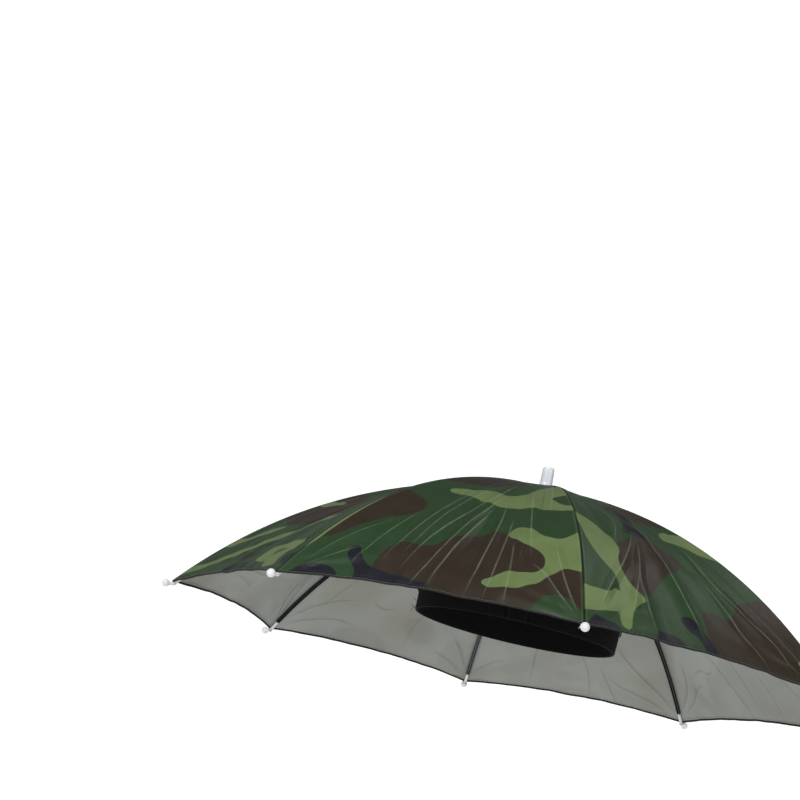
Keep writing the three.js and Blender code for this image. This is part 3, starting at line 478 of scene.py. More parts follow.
def crossing_threads():
    """Height of a plain weave: threads that pass over and under each other."""
    tree, given, result = new_tree(
        "Crossing threads", "ShaderNodeTree",
        [("Vector", "Vector"), ("Pitch", "Float", 0.0006)], [("Height", "Float")])
    placed = node(tree, "ShaderNodeVectorMath", {0: given["Vector"], 1: (1 / 6.2832,) * 3},
                  operation="SCALE")
    tree.links.new(maths(tree, "DIVIDE", 6.2832 / 2, given["Pitch"]), placed.inputs["Scale"])
    parts = node(tree, "ShaderNodeSeparateXYZ", {0: placed.outputs[0]}).outputs
    warp = maths(tree, "SINE", parts["X"])
    weft = maths(tree, "SINE", parts["Y"])
    tree.links.new(maths(tree, "MULTIPLY", warp, weft), result["Height"])
    return tree


def soft_mottling():
    """A colour that is a little lighter and darker from place to place."""
    tree, given, result = new_tree(
        "Soft mottling", "ShaderNodeTree",
        [("Vector", "Vector"), ("Colour", "Color"), ("Scale", "Float", 40.0), ("Amount", "Float", 0.1)],
        [("Colour", "Color"), ("Cloud", "Float")])
    cloud = node(tree, "ShaderNodeTexNoise", {"Vector": given["Vector"], "Scale": given["Scale"],
                                              "Detail": 4.0, "Roughness": 0.55}).outputs["Fac"]
    lift = maths(tree, "MULTIPLY", maths(tree, "SUBTRACT", cloud, 0.5), given["Amount"])
    gain = maths(tree, "ADD", maths(tree, "MULTIPLY", lift, 4.0), 1.0)
    scaled = node(tree, "ShaderNodeVectorMath", {0: given["Colour"]}, operation="SCALE")
    tree.links.new(gain, scaled.inputs["Scale"])
    tree.links.new(scaled.outputs[0], result["Colour"])
    tree.links.new(cloud, result["Cloud"])
    return tree


def drawn_wrinkles():
    """Height of fine wrinkles that run along the cloth's second axis."""
    tree, given, result = new_tree(
        "Drawn wrinkles", "ShaderNodeTree",
        [("Vector", "Vector"), ("Scale", "Float", 60.0), ("Stretch", "Float", 0.18)], [("Height", "Float")])
    parts = node(tree, "ShaderNodeSeparateXYZ", {0: given["Vector"]}).outputs
    along = maths(tree, "MULTIPLY", parts["Y"], given["Stretch"])
    drawn = node(tree, "ShaderNodeCombineXYZ", {"X": parts["X"], "Y": along, "Z": parts["Z"]}).outputs[0]
    rough = node(tree, "ShaderNodeTexNoise", {"Vector": drawn, "Scale": given["Scale"], "Detail": 3.0,
                                              "Roughness": 0.5, "Distortion": 0.4}).outputs["Fac"]
    tree.links.new(rough, result["Height"])
    return tree


def effect(tree, name, inputs):
    """A shader node group placed in a material."""
    placed = node(tree, "ShaderNodeGroup", node_tree=EFFECTS[name])
    for key, value in inputs.items():
        if isinstance(value, bpy.types.NodeSocket):
            tree.links.new(value, placed.inputs[key])
        else:
            placed.inputs[key].default_value = value
    return placed.outputs


EFFECTS = {}


def make_effects():
    EFFECTS.update(threads=crossing_threads(), mottling=soft_mottling(), wrinkles=drawn_wrinkles())


def new_material(name, colour, **constants):
    """A material with its shader, whose sockets are set by name."""
    material = bpy.data.materials.new(name)
    material.use_nodes = True
    tree = material.node_tree
    shader = tree.nodes["Principled BSDF"]
    material.diffuse_color = opened(colour)
    for socket, value in constants.items():
        shader.inputs[socket.replace("_", " ")].default_value = value
    return material, tree, shader


def bumped(tree, shader, *layers):
    """Lays bumps over each other: each layer is a height, a distance and a strength."""
    below = None
    for height, distance, strength in layers:
        bump = node(tree, "ShaderNodeBump", {"Height": height, "Distance": distance, "Strength": strength})
        if below:
            tree.links.new(below, bump.inputs["Normal"])
        below = bump.outputs[0]
    tree.links.new(below, shader.inputs["Normal"])


def attribute(tree, name):
    return node(tree, "ShaderNodeAttribute", attribute_name=name).outputs["Fac"]


def uv_map(tree):
    return node(tree, "ShaderNodeUVMap", uv_map="cloth").outputs[0]


def object_place(tree):
    return node(tree, "ShaderNodeTexCoord").outputs["Object"]


def crease_line(tree, width):
    """Mask of the sharp creases, 1 on the line and 0 a width away from it."""
    whole = 0.0
    for layer in CREASE_LAYERS:
        away = maths(tree, "ABSOLUTE", attribute(tree, f"distance_{layer}"))
        near = maths(tree, "SUBTRACT", 1.0, maths(tree, "DIVIDE", away, width), clamp=True)
        line = maths(tree, "MULTIPLY", near, attribute(tree, f"strength_{layer}"))
        whole = maths(tree, "MAXIMUM", line, whole)
    return whole


def printed_cloth(colours):
    """Outside of the cloth: the print, with lighter crease lines that are painted highlight and wear, and a
    fine weave.
    """
    material, tree, shader = new_material("printed_cloth", colours.dark_green, Roughness=0.42,
                                          Specular_IOR_Level=0.25)
    place = object_place(tree)
    printed = opened(colours.dark_green)
    for name in TINTS:
        edge = maths(tree, "ADD", maths(tree, "MULTIPLY", attribute(tree, name), 1500.0), 0.5, clamp=True)
        printed = mixed(tree, edge, printed, opened(getattr(colours, name)))
    mottled = effect(tree, "mottling", {"Vector": place, "Colour": printed, "Scale": 55.0, "Amount": 0.10})
    patchy = node(tree, "ShaderNodeTexNoise", {"Vector": place, "Scale": 130.0, "Detail": 2.0})
    amount = maths(tree, "MULTIPLY", patchy.outputs["Fac"], 0.62)
    # Lighter lines along the sharp creases: painted highlight where the folds catch the light, and wear of
    # the print.
    worn = maths(tree, "MULTIPLY", crease_line(tree, 0.0009), amount)
    worn_and_highlighted = mixed(tree, worn, mottled["Colour"], opened(linear(170, 180, 160)))
    beside = attribute(tree, "seam_distance")
    # A thin lighter line 1.9 mm beside each seam: a painted highlight on the cloth's bulge over the rib.
    ridge = maths(tree, "ABSOLUTE", maths(tree, "SUBTRACT", beside, 0.0019))
    seam_highlight = maths(tree, "SUBTRACT", 1.0, maths(tree, "MULTIPLY", ridge, 1200.0), clamp=True)
    seam_highlighted = mixed(tree, maths(tree, "MULTIPLY", seam_highlight, 0.14), worn_and_highlighted, opened(linear(150, 160, 132)))
    seam = maths(tree, "SUBTRACT", 1.4, maths(tree, "MULTIPLY", beside, 1500.0), clamp=True)
    tree.links.new(mixed(tree, maths(tree, "MULTIPLY", seam, 0.85), seam_highlighted, opened(linear(14, 18, 14))),
                   shader.inputs["Base Color"])
    gloss = maths(tree, "ADD", maths(tree, "MULTIPLY", mottled["Cloud"], 0.16), 0.28)
    tree.links.new(gloss, shader.inputs["Roughness"])
    weave = effect(tree, "threads", {"Vector": uv_map(tree), "Pitch": 0.0007})["Height"]
    drawn = effect(tree, "wrinkles", {"Vector": uv_map(tree), "Scale": 90.0, "Stretch": 0.14})["Height"]
    bumped(tree, shader, (drawn, 0.0009, 0.35), (crease_line(tree, 0.0055), 0.0015, 0.8),
           (weave, 0.00005, 0.4))
    return material


def silver_coat(colours):
    """Inside of the cloth: a soft silver-grey coat, with painted shade along the sharp creases."""
    material, tree, shader = new_material("silver_coat", colours.silver, Metallic=0.0, Roughness=0.5)
    broad = node(tree, "ShaderNodeTexNoise", {"Vector": object_place(tree), "Scale": 10.0, "Detail": 2.0})
    shade = maths(tree, "MULTIPLY", maths(tree, "SUBTRACT", broad.outputs["Fac"], 0.4), 3.0, clamp=True)
    shown = mixed(tree, shade, opened(colours.silver), opened(colours.silver_shade))
    for name in TINTS:
        edge = maths(tree, "ADD", maths(tree, "MULTIPLY", attribute(tree, name), 300.0), 0.5, clamp=True)
        seen = mixed(tree, 0.09, shown, opened(getattr(colours, name)))
        shown = mixed(tree, edge, shown, seen)
    mottled = effect(tree, "mottling", {"Vector": object_place(tree), "Colour": shown, "Scale": 16.0,
                                        "Amount": 0.07})
    # Darker lines along the sharp creases: painted shade in the folds.
    crease_shade = maths(tree, "MULTIPLY", crease_line(tree, 0.0016), 0.35)
    tree.links.new(mixed(tree, crease_shade, mottled["Colour"], opened(linear(70, 72, 70))),
                   shader.inputs["Base Color"])
    gloss = maths(tree, "ADD", maths(tree, "MULTIPLY", mottled["Cloud"], 0.2), 0.38)
    tree.links.new(gloss, shader.inputs["Roughness"])
    weave = effect(tree, "threads", {"Vector": uv_map(tree), "Pitch": 0.0007})["Height"]
    drawn = effect(tree, "wrinkles", {"Vector": uv_map(tree), "Scale": 50.0, "Stretch": 0.3})["Height"]
    bumped(tree, shader, (drawn, 0.0016, 0.5), (crease_line(tree, 0.003), 0.0008, 0.6),
           (weave, 0.00005, 0.3))
    return material


def plain_finish(name, colour, low, high, scale=60.0, amount=0.06, grain=0.00005, **constants):
    """A finish with slight mottling, uneven gloss and a fine grain."""
    material, tree, shader = new_material(name, colour, **constants)
    place = object_place(tree)
    mottled = effect(tree, "mottling", {"Vector": place, "Colour": opened(colour), "Scale": scale,
                                        "Amount": amount})
    tree.links.new(mottled["Colour"], shader.inputs["Base Color"])
    gloss = maths(tree, "ADD", maths(tree, "MULTIPLY", mottled["Cloud"], high - low), low)
    tree.links.new(gloss, shader.inputs["Roughness"])
    fine = node(tree, "ShaderNodeTexNoise", {"Vector": place, "Scale": 1400.0, "Detail": 2.0})
    bumped(tree, shader, (fine.outputs["Fac"], grain, 0.5))
    return material


def rib_steel(colours):
    """Painted steel of the ribs, with a painted highlight along the floor of each channel."""
    material = plain_finish("rib_steel", colours.steel, 0.3, 0.5, Metallic=0.2)
    tree = material.node_tree
    parts = node(tree, "ShaderNodeSeparateXYZ", {0: object_place(tree)}).outputs
    angle = maths(tree, "ARCTAN2", parts["Y"], parts["X"])
    squares = [maths(tree, "POWER", maths(tree, "ABSOLUTE", parts[axis]), 2.0) for axis in "XY"]
    out = maths(tree, "SQRT", maths(tree, "ADD", *squares))
    turn = maths(tree, "SINE", maths(tree, "MULTIPLY", angle, GORES))
    beside = maths(tree, "MULTIPLY", maths(tree, "ABSOLUTE", turn), maths(tree, "DIVIDE", out, GORES))
    # Lighter channel floor: a painted highlight for the light inside the channel.
    floor = maths(tree, "SUBTRACT", 4.0, maths(tree, "MULTIPLY", beside, 4000.0), clamp=True)
    base = tree.nodes["Principled BSDF"].inputs["Base Color"]
    painted = base.links[0].from_socket
    tree.links.new(mixed(tree, floor, painted, opened(colours.channel)), base)
    return material


def ribbed_elastic(colours):
    """Woven elastic: cross ribs over fine lengthwise threads."""
    material, tree, shader = new_material("ribbed_elastic", colours.elastic, Roughness=0.85,
                                          Specular_IOR_Level=0.15)
    flat = uv_map(tree)
    rows = node(tree, "ShaderNodeTexWave", {"Vector": flat, "Scale": 260.0, "Distortion": 0.6,
                                            "Detail Scale": 8.0}, bands_direction="X").outputs["Fac"]
    cords = node(tree, "ShaderNodeTexWave", {"Vector": flat, "Scale": 190.0, "Distortion": 0.2},
                 bands_direction="Y").outputs["Fac"]
    mottled = effect(tree, "mottling", {"Vector": object_place(tree), "Colour": opened(colours.elastic),
                                        "Scale": 120.0, "Amount": 0.12})
    shade = mixed(tree, maths(tree, "MULTIPLY", rows, 0.35), mottled["Colour"], opened(linear(4, 4, 4)))
    tree.links.new(shade, shader.inputs["Base Color"])
    rough = maths(tree, "ADD", maths(tree, "MULTIPLY", mottled["Cloud"], 0.2), 0.72)
    tree.links.new(rough, shader.inputs["Roughness"])
    weave = effect(tree, "threads", {"Vector": flat, "Pitch": 0.0005})["Height"]
    bumped(tree, shader, (rows, 0.00035, 0.6), (cords, 0.0002, 0.4), (weave, 0.00005, 0.3))
    return material


def twisted_thread(name, colour):
    """Sewing thread, with its twist as a fine bump."""
    material, tree, shader = new_material(name, colour, Roughness=0.7)
    place = object_place(tree)
    mottled = effect(tree, "mottling", {"Vector": place, "Colour": opened(colour), "Scale": 300.0,
                                        "Amount": 0.15})
    tree.links.new(mottled["Colour"], shader.inputs["Base Color"])
    twist = node(tree, "ShaderNodeTexWave", {"Vector": place, "Scale": 900.0, "Distortion": 2.0},
                 bands_direction="DIAGONAL").outputs["Fac"]
    bumped(tree, shader, (twist, 0.00008, 0.6))
    return material


def studio_stage(colours, settings):
    """Plain floor and backdrop that look white. The floor casts light, and the backdrop hardly any."""
    material, tree, shader = new_material("studio_stage", colours.stage, Roughness=0.9)
    mottled = effect(tree, "mottling", {"Vector": object_place(tree), "Colour": opened(colours.stage),
                                        "Scale": 1.5, "Amount": 0.005})
    tree.links.new(mottled["Colour"], shader.inputs["Base Color"])
    shader.inputs["Emission Color"].default_value = (1, 1, 1, 1)
    upward = node(tree, "ShaderNodeSeparateXYZ", {0: node(tree, "ShaderNodeNewGeometry").outputs["Normal"]})
    level = maths(tree, "MULTIPLY", upward.outputs["Z"], settings.floor_glow, clamp=True)
    tree.links.new(seen_and_cast(tree, settings.seen_glow, level), shader.inputs["Emission Strength"])
    return material


def seen_and_cast(tree, seen, cast):
    """A strength of light as seen, and another as it falls on the hat."""
    direct = node(tree, "ShaderNodeLightPath").outputs["Is Camera Ray"]
    return node(tree, "ShaderNodeMix", {"Factor": direct, "A": cast, "B": seen}).outputs[0]


def make_materials(scene):
    """Every finish, by name."""
    colours = scene.hat_colours
    make_effects()
    return {
        "printed_cloth": printed_cloth(colours),
        "silver_coat": silver_coat(colours),
        "dark_thread": twisted_thread("dark_thread", colours.dark_thread),
        "dull_thread": twisted_thread("dull_thread", colours.dull_thread),
        "pale_thread": twisted_thread("pale_thread", colours.pale_thread),
        "painted_steel": plain_finish("painted_steel", colours.steel, 0.3, 0.5, Metallic=0.2),
        "rib_steel": rib_steel(colours),
        "bright_steel": plain_finish("bright_steel", colours.bright_steel, 0.25, 0.45, Metallic=0.9),
        "ball_plastic": plain_finish("ball_plastic", colours.ball, 0.22, 0.34, amount=0.02,
                                     Subsurface_Weight=0.15, Subsurface_Scale=0.003),
        "cap_plastic": plain_finish("cap_plastic", colours.cap, 0.2, 0.32, amount=0.02,
                                    Subsurface_Weight=0.35, Subsurface_Scale=0.006),
        "hub_plastic": plain_finish("hub_plastic", colours.hub, 0.45, 0.65),
        "ribbed_elastic": ribbed_elastic(colours),
        "studio_stage": studio_stage(colours, scene.hat_stage),
    }


# Pieces

def finish_for(name):
    """A material, made with the others the first time one is asked for."""
    if name not in bpy.data.materials:
        make_materials(bpy.context.scene)
    return bpy.data.materials[name]


def new_object(name, points, faces, edges=()):
    mesh = bpy.data.meshes.new(name)
    mesh.from_pydata([tuple(point) for point in points], list(edges), [tuple(face) for face in faces])
    mesh.update()
    made = bpy.data.objects.new(name, mesh)
    bpy.context.scene.collection.objects.link(made)
    return made


def settled(piece, smooth_below=40):
    """Applies a piece's modifiers and shades it smooth except over sharp edges."""
    if piece.modifiers:
        evaluated = piece.evaluated_get(bpy.context.evaluated_depsgraph_get())
        mesh = bpy.data.meshes.new_from_object(evaluated)
        piece.modifiers.clear()
        piece.data = mesh
    piece.data.name = piece.name
    piece.data.shade_smooth()
    piece.data.set_sharp_from_angle(angle=math.radians(smooth_below))
    return piece


def joined(name, pieces):
    """One object from several meshes, with their materials kept."""
    built = bmesh.new()
    finishes = []
    for piece in pieces:
        offset = len(built.faces)
        built.from_mesh(piece.data)
        built.faces.ensure_lookup_table()
        slots = []
        for material in piece.data.materials:
            if material not in finishes:
                finishes.append(material)
            slots.append(finishes.index(material))
        for face in built.faces[offset:]:
            face.material_index = slots[face.material_index]
    whole = new_object(name, [], [])
    built.to_mesh(whole.data)
    built.free()
    for material in finishes:
        whole.data.materials.append(material)
    for piece in pieces:
        bpy.data.objects.remove(piece)
    return whole


def place_piece(piece, slot, *nodes):
    """Puts a finished piece on the hat's body in place of its solids."""
    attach(piece, BODY)
    if nodes:
        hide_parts(*nodes)
    return piece


def numbered(name, numbers=range(1, GORES + 1)):
    return [f"{name}_{number}" for number in numbers]


def turned_about(points, angle):
    """Points turned about the crown axis."""
    cosine, sine = math.cos(angle), math.sin(angle)
    x, y, z = np.moveaxis(np.asarray(points, float), -1, 0)
    return np.stack([x * cosine - y * sine, x * sine + y * cosine, z], axis=-1)


def rib_angle(rib):
    return -math.pi / 2 + (2 * rib - 3) * HALF_GORE


def gore_angle(gore):
    return rib_angle(gore) + HALF_GORE


# Geometry Nodes

def run_nodes(name, source, tree, inputs):
    """The plain mesh object that a tree makes from a source object, which is then removed."""
    modifier = source.modifiers.new(tree.name, "NODES")
    modifier.node_group = tree
    identifiers = {item.name: item.identifier for item in tree.interface.items_tree
                   if item.item_type == "SOCKET" and item.in_out == "INPUT"}
    for label, value in inputs.items():
        modifier[identifiers[label]] = value
    evaluated = source.evaluated_get(bpy.context.evaluated_depsgraph_get())
    mesh = bpy.data.meshes.new_from_object(evaluated)
    bpy.data.objects.remove(source)
    mesh.name = name
    made = bpy.data.objects.new(name, mesh)
    bpy.context.scene.collection.objects.link(made)
    return made


def tree_named(name, build):
    """A Geometry Nodes tree, built the first time it is asked for."""
    return bpy.data.node_groups.get(name) or build(name)


def geometry_ends(tree, geometry, material, result):
    real = node(tree, "GeometryNodeRealizeInstances", {"Geometry": geometry}).outputs[0]
    smooth = node(tree, "GeometryNodeSetShadeSmooth", {"Geometry": real}).outputs[0]
    dressed = node(tree, "GeometryNodeSetMaterial", {"Geometry": smooth, "Material": material})
    tree.links.new(dressed.outputs[0], result["Geometry"])


def ring_tree(name):
    """Copies of a piece at even turns about the crown axis."""
    tree, given, result = new_tree(
        name, "GeometryNodeTree",
        [("Geometry", "Geometry"), ("Count", "Int", 8), ("Material", "Material")],
        [("Geometry", "Geometry")])
    points = node(tree, "GeometryNodePoints", {"Count": given["Count"]}).outputs[0]
    index = node(tree, "GeometryNodeInputIndex").outputs[0]
    turn = maths(tree, "DIVIDE", maths(tree, "MULTIPLY", index, 2 * math.pi), given["Count"])
    rotation = node(tree, "ShaderNodeCombineXYZ", {"Z": turn}).outputs[0]
    copies = node(tree, "GeometryNodeInstanceOnPoints", {"Points": points, "Instance": given["Geometry"],
                                                         "Rotation": rotation}).outputs[0]
    geometry_ends(tree, copies, given["Material"], result)
    return tree


def stitch_tree(name):
    """Stitches that follow the edges of a mesh."""
    tree, given, result = new_tree(
        name, "GeometryNodeTree",
        [("Geometry", "Geometry"), ("Pitch", "Float", 0.003), ("Length", "Float", 0.002),
         ("Thickness", "Float", 0.0004), ("Material", "Material")], [("Geometry", "Geometry")])
    path = node(tree, "GeometryNodeMeshToCurve", {"Mesh": given["Geometry"]}).outputs[0]
    marks = node(tree, "GeometryNodeResampleCurve", {"Curve": path, "Length": given["Pitch"]},
                 mode="LENGTH").outputs[0]
    thread = node(tree, "GeometryNodeMeshUVSphere", {"Segments": 6, "Rings": 5, "Radius": 0.5}).outputs[0]
    ahead = node(tree, "GeometryNodeInputTangent").outputs[0]
    turned = node(tree, "FunctionNodeAlignRotationToVector", {"Vector": ahead}, axis="X").outputs[0]
    size = node(tree, "ShaderNodeCombineXYZ", {"X": given["Length"], "Y": given["Thickness"],
                                               "Z": given["Thickness"]}).outputs[0]
    stitches = node(tree, "GeometryNodeInstanceOnPoints", {"Points": marks, "Instance": thread,
                                                           "Rotation": turned, "Scale": size}).outputs[0]
    geometry_ends(tree, stitches, given["Material"], result)
    return tree


def edging_tree(name):
    """A round thread that follows the edges of a mesh."""
    tree, given, result = new_tree(
        name, "GeometryNodeTree",
        [("Geometry", "Geometry"), ("Radius", "Float", 0.0005), ("Sides", "Int", 8),
         ("Material", "Material")], [("Geometry", "Geometry")])
    path = node(tree, "GeometryNodeMeshToCurve", {"Mesh": given["Geometry"]}).outputs[0]
    outline = node(tree, "GeometryNodeCurvePrimitiveCircle", {"Resolution": given["Sides"],
                                                              "Radius": given["Radius"]}).outputs[0]
    tube = node(tree, "GeometryNodeCurveToMesh", {"Curve": path, "Profile Curve": outline,
                                                  "Fill Caps": True}).outputs[0]
    geometry_ends(tree, tube, given["Material"], result)
    return tree


def ring_of(name, source, finish, smooth_below=40):
    """Eight copies of a piece, one to each rib."""
    made = run_nodes(name, source, tree_named("Ring of pieces", ring_tree),
                     {"Count": GORES, "Material": finish_for(finish)})
    return settled(made, smooth_below)


def path_object(name, *paths):
    """A mesh of edges only, from rows of points."""
    points, edges = [], []
    for path in paths:
        start = len(points)
        points.extend(path)
        edges.extend((start + i, start + i + 1) for i in range(len(path) - 1))
    return new_object(name, points, [], edges)


def stitched(name, finish, pitch, stitch, thickness, *paths):
    return run_nodes(name, path_object(name, *paths), tree_named("Line of stitches", stitch_tree),
                     {"Pitch": pitch, "Length": stitch, "Thickness": thickness,
                      "Material": finish_for(finish)})


def threaded(name, finish, radius, *paths, sides=8):
    return run_nodes(name, path_object(name, *paths), tree_named("Round thread", edging_tree),
                     {"Radius": radius, "Sides": sides, "Material": finish_for(finish)})


# Cloth

def rib_height(sizes, share):
    fall = FALL_STRAIGHT * share + FALL_ROUND * share**2 + FALL_STEEP * share**4
    return sizes.dome_height * (1 - fall) - sizes.rim_drop


def half_width(sizes, down):
    return down * sizes.rim_radius * math.sin(HALF_GORE)


def slant(sizes):
    """Length of a gore down its rib."""
    share = np.linspace(0, 1, 200)
    run = np.diff(share) * sizes.rim_radius
    return float(np.hypot(run, np.diff(rib_height(sizes, share))).sum())


def plain_cloth(sizes, across, down):
    """Points of the cloth without folds, with the gore's middle on +X."""
    bow = 1 - across**2
    out = down * sizes.rim_radius * math.cos(HALF_GORE) - sizes.hem_inset * bow * down**4
    hollow = sizes.gore_hollow * bow * 6.75 * down**2 * (1 - down)
    height = rib_height(sizes, down) - hollow + sizes.hem_lift * bow * down**6
    return np.stack([out, across * half_width(sizes, down), height], axis=-1)


def cloth_normal(sizes, across, down):
    step = 1e-3
    aside = plain_cloth(sizes, across + step, down) - plain_cloth(sizes, across - step, down)
    ahead = plain_cloth(sizes, across, down + step) - plain_cloth(sizes, across, down - step)
    normal = np.cross(ahead, aside)
    normal /= np.linalg.norm(normal, axis=-1, keepdims=True)
    for column, side in ((0, -1), (-1, 1)):
        flank = np.array([-math.sin(HALF_GORE) * side, math.cos(HALF_GORE), 0])
        edge = normal[:, column]
        edge -= (edge @ flank)[:, None] * flank
        edge /= np.linalg.norm(edge, axis=-1, keepdims=True)
    return normal


def flat_place(sizes, across, down):
    """Place on a gore laid flat, in metres from its crown."""
    return across * half_width(sizes, down), down * slant(sizes)


def broad_folds(sizes, gore, across, down):
    x, y = flat_place(sizes, across, down)
    height = np.zeros_like(x)
    for fold in FOLDS:
        if gore not in fold.gores:
            continue
        start_x, start_y = flat_place(sizes, fold.across, fold.down)
        run_x, run_y = flat_place(sizes, fold.to_across, fold.to_down)
        run_x, run_y = run_x - start_x, run_y - start_y
        run = math.hypot(run_x, run_y)
        along = ((x - start_x) * run_x + (y - start_y) * run_y) / run**2
        beside = np.abs((x - start_x) * run_y - (y - start_y) * run_x) / run
        fade = np.clip(1 - (2 * along - 1) ** 4, 0, None)
        crest = np.clip(1 - beside / (fold.width * sizes.fold_width), 0, None) ** 1.5
        height += fold.rise * sizes.fold_height * fade * crest
    return height * (1 - across**2)


def fine_ripples(sizes, gore, across, down):
    """Ripples that run from the hem to the crown, and pleats that fan out from the corners."""
    x, y = flat_place(sizes, across, down)
    wave = np.zeros_like(x)
    for order, share in ((3.2, 0.9), (5.3, 0.8), (8.1, 0.7), (12.7, 0.45)):
        sway = 0.8 * np.sin(5 * down + 1.7 * gore + order)
        wave += share * np.sin(math.pi * order * across + 2.3 * gore + order**2 + sway)
    fade = np.clip((down - 0.12) / 0.4, 0, 1) * (1 - across**2) ** 0.5
    height = sizes.ripple_height * wave * fade
    for side in (-1, 1):
        tip_x, tip_y = flat_place(sizes, side, 1)
        away = np.hypot(x - tip_x, y - tip_y)
        turn = np.arctan2(np.abs(x - tip_x), tip_y - y)
        pleat = np.cos(15 * turn + 1.3 * gore + 0.9 * side) + 0.6 * np.cos(24 * turn + 2.1 * gore)
        reach = away / 0.05
        height += sizes.fan_height * pleat * reach * np.exp(1 - 1.6 * reach) * (1 - np.abs(across) ** 8)
    return height


def crown_gather(across, down):
    return -0.0005 * np.sin(math.pi * across) ** 2 * np.exp(-12 * down)


def rounded(outline):
    """An outline with its corners cut twice over."""
    points = np.array(outline, float)
    for _ in range(2):
        after = np.roll(points, -1, axis=0)
        points = np.stack([0.75 * points + 0.25 * after, 0.25 * points + 0.75 * after], 1).reshape(-1, 2)
    return points


def inside_distance(outline, x, y):
    """Distance to a closed outline, positive inside it."""
    nearest = np.full(x.shape, np.inf)
    inside = np.zeros(x.shape, bool)
    for (ax, ay), (bx, by) in zip(outline, np.roll(outline, -1, axis=0)):
        ex, ey = bx - ax, by - ay
        share = np.clip(((x - ax) * ex + (y - ay) * ey) / (ex * ex + ey * ey + 1e-18), 0, 1)
        nearest = np.minimum(nearest, np.hypot(x - ax - share * ex, y - ay - share * ey))
        if ey:
            inside ^= ((ay > y) != (by > y)) & (x < ax + (y - ay) * ex / ey)
    return np.where(inside, nearest, -nearest)


def print_fields(sizes, gore, across, down):
    """Distance inside each tint's patches, negative outside them."""
    x, y = flat_place(sizes, across, down)
    chart, side = GORE_CHARTS[gore]
    fields = {name: np.full(x.shape, -1.0) for name in TINTS}
    for patch in PRINT_CHARTS[chart]:
        outline = rounded(patch.outline)
        flat = np.stack(flat_place(sizes, outline[:, 0] * side, outline[:, 1]), axis=-1)
        depth = inside_distance(flat, x, y)
        for name in TINTS:
            if name == patch.tint:
                fields[name] = np.maximum(fields[name], depth)
            else:
                fields[name] = np.minimum(fields[name], -depth)
    return fields


def crease_fields(sizes, gore, across, down, layer):
    """Signed distance to a layer's nearest sharp crease, and that crease's strength there."""
    x, y = flat_place(sizes, across, down)
    distance, strength = np.full(x.shape, 1.0), np.zeros(x.shape)
    for crease in CREASES:
        if gore not in crease.gores or crease.layer != layer:
            continue
        places = np.array([flat_place(sizes, *point) for point in softened(crease.points)])
        count = len(places) - 1
        for part, ((ax, ay), (bx, by)) in enumerate(zip(places, places[1:])):
            ex, ey = bx - ax, by - ay
            run = math.hypot(ex, ey)
            along = ((x - ax) * ex + (y - ay) * ey) / run**2
            beside = ((x - ax) * ey - (y - ay) * ex) / run
            share = np.clip(along, 0, 1)
            away = np.hypot(x - ax - share * ex, y - ay - share * ey)
            signed = np.copysign(away, beside)
            whole = (part + share) / count
            near = away < np.abs(distance)
            distance = np.where(near, signed, distance)
            fade = np.clip(8 * whole * (1 - whole), 0, 1) * np.clip(3 - away / 0.003, 0, 1)
            strength = np.where(near, crease.strength * fade, strength)
    return distance, strength


def softened(points):
    """A line of points with its corners cut."""
    line = np.array(points, float)
    for _ in range(2):
        inner = np.stack([0.75 * line[:-1] + 0.25 * line[1:], 0.25 * line[:-1] + 0.75 * line[1:]], 1)
        line = np.concatenate([line[:1], inner.reshape(-1, 2)[1:-1], line[-1:]])
    return line


def canopy_shares(sizes):
    """Across and down for each row and column of a gore, both its creases included."""
    hole = sizes.hole_radius / (sizes.rim_radius * math.cos(HALF_GORE))
    down = hole + (1 - hole) * (np.arange(ROWS + 1) / ROWS) ** 0.85
    seam = np.clip(sizes.seam_width / half_width(sizes, down), 0, 0.3)
    inner = np.linspace(-1, 1, COLUMNS - 1)
    across = np.empty((ROWS + 1, COLUMNS + 1))
    across[:, 0], across[:, -1] = -1, 1
    across[:, 1:-1] = inner * (1 - seam[:, None])
    return across, np.repeat(down[:, None], COLUMNS + 1, axis=1)


def gore_points(sizes, gore, across, down):
    rise = broad_folds(sizes, gore, across, down) + fine_ripples(sizes, gore, across, down)
    rise += crown_gather(across, down)
    rise[:, 0] = rise[:, -1] = -sizes.seam_dip
    points = plain_cloth(sizes, across, down) + cloth_normal(sizes, across, down) * rise[..., None]
    return turned_about(points, gore_angle(gore))


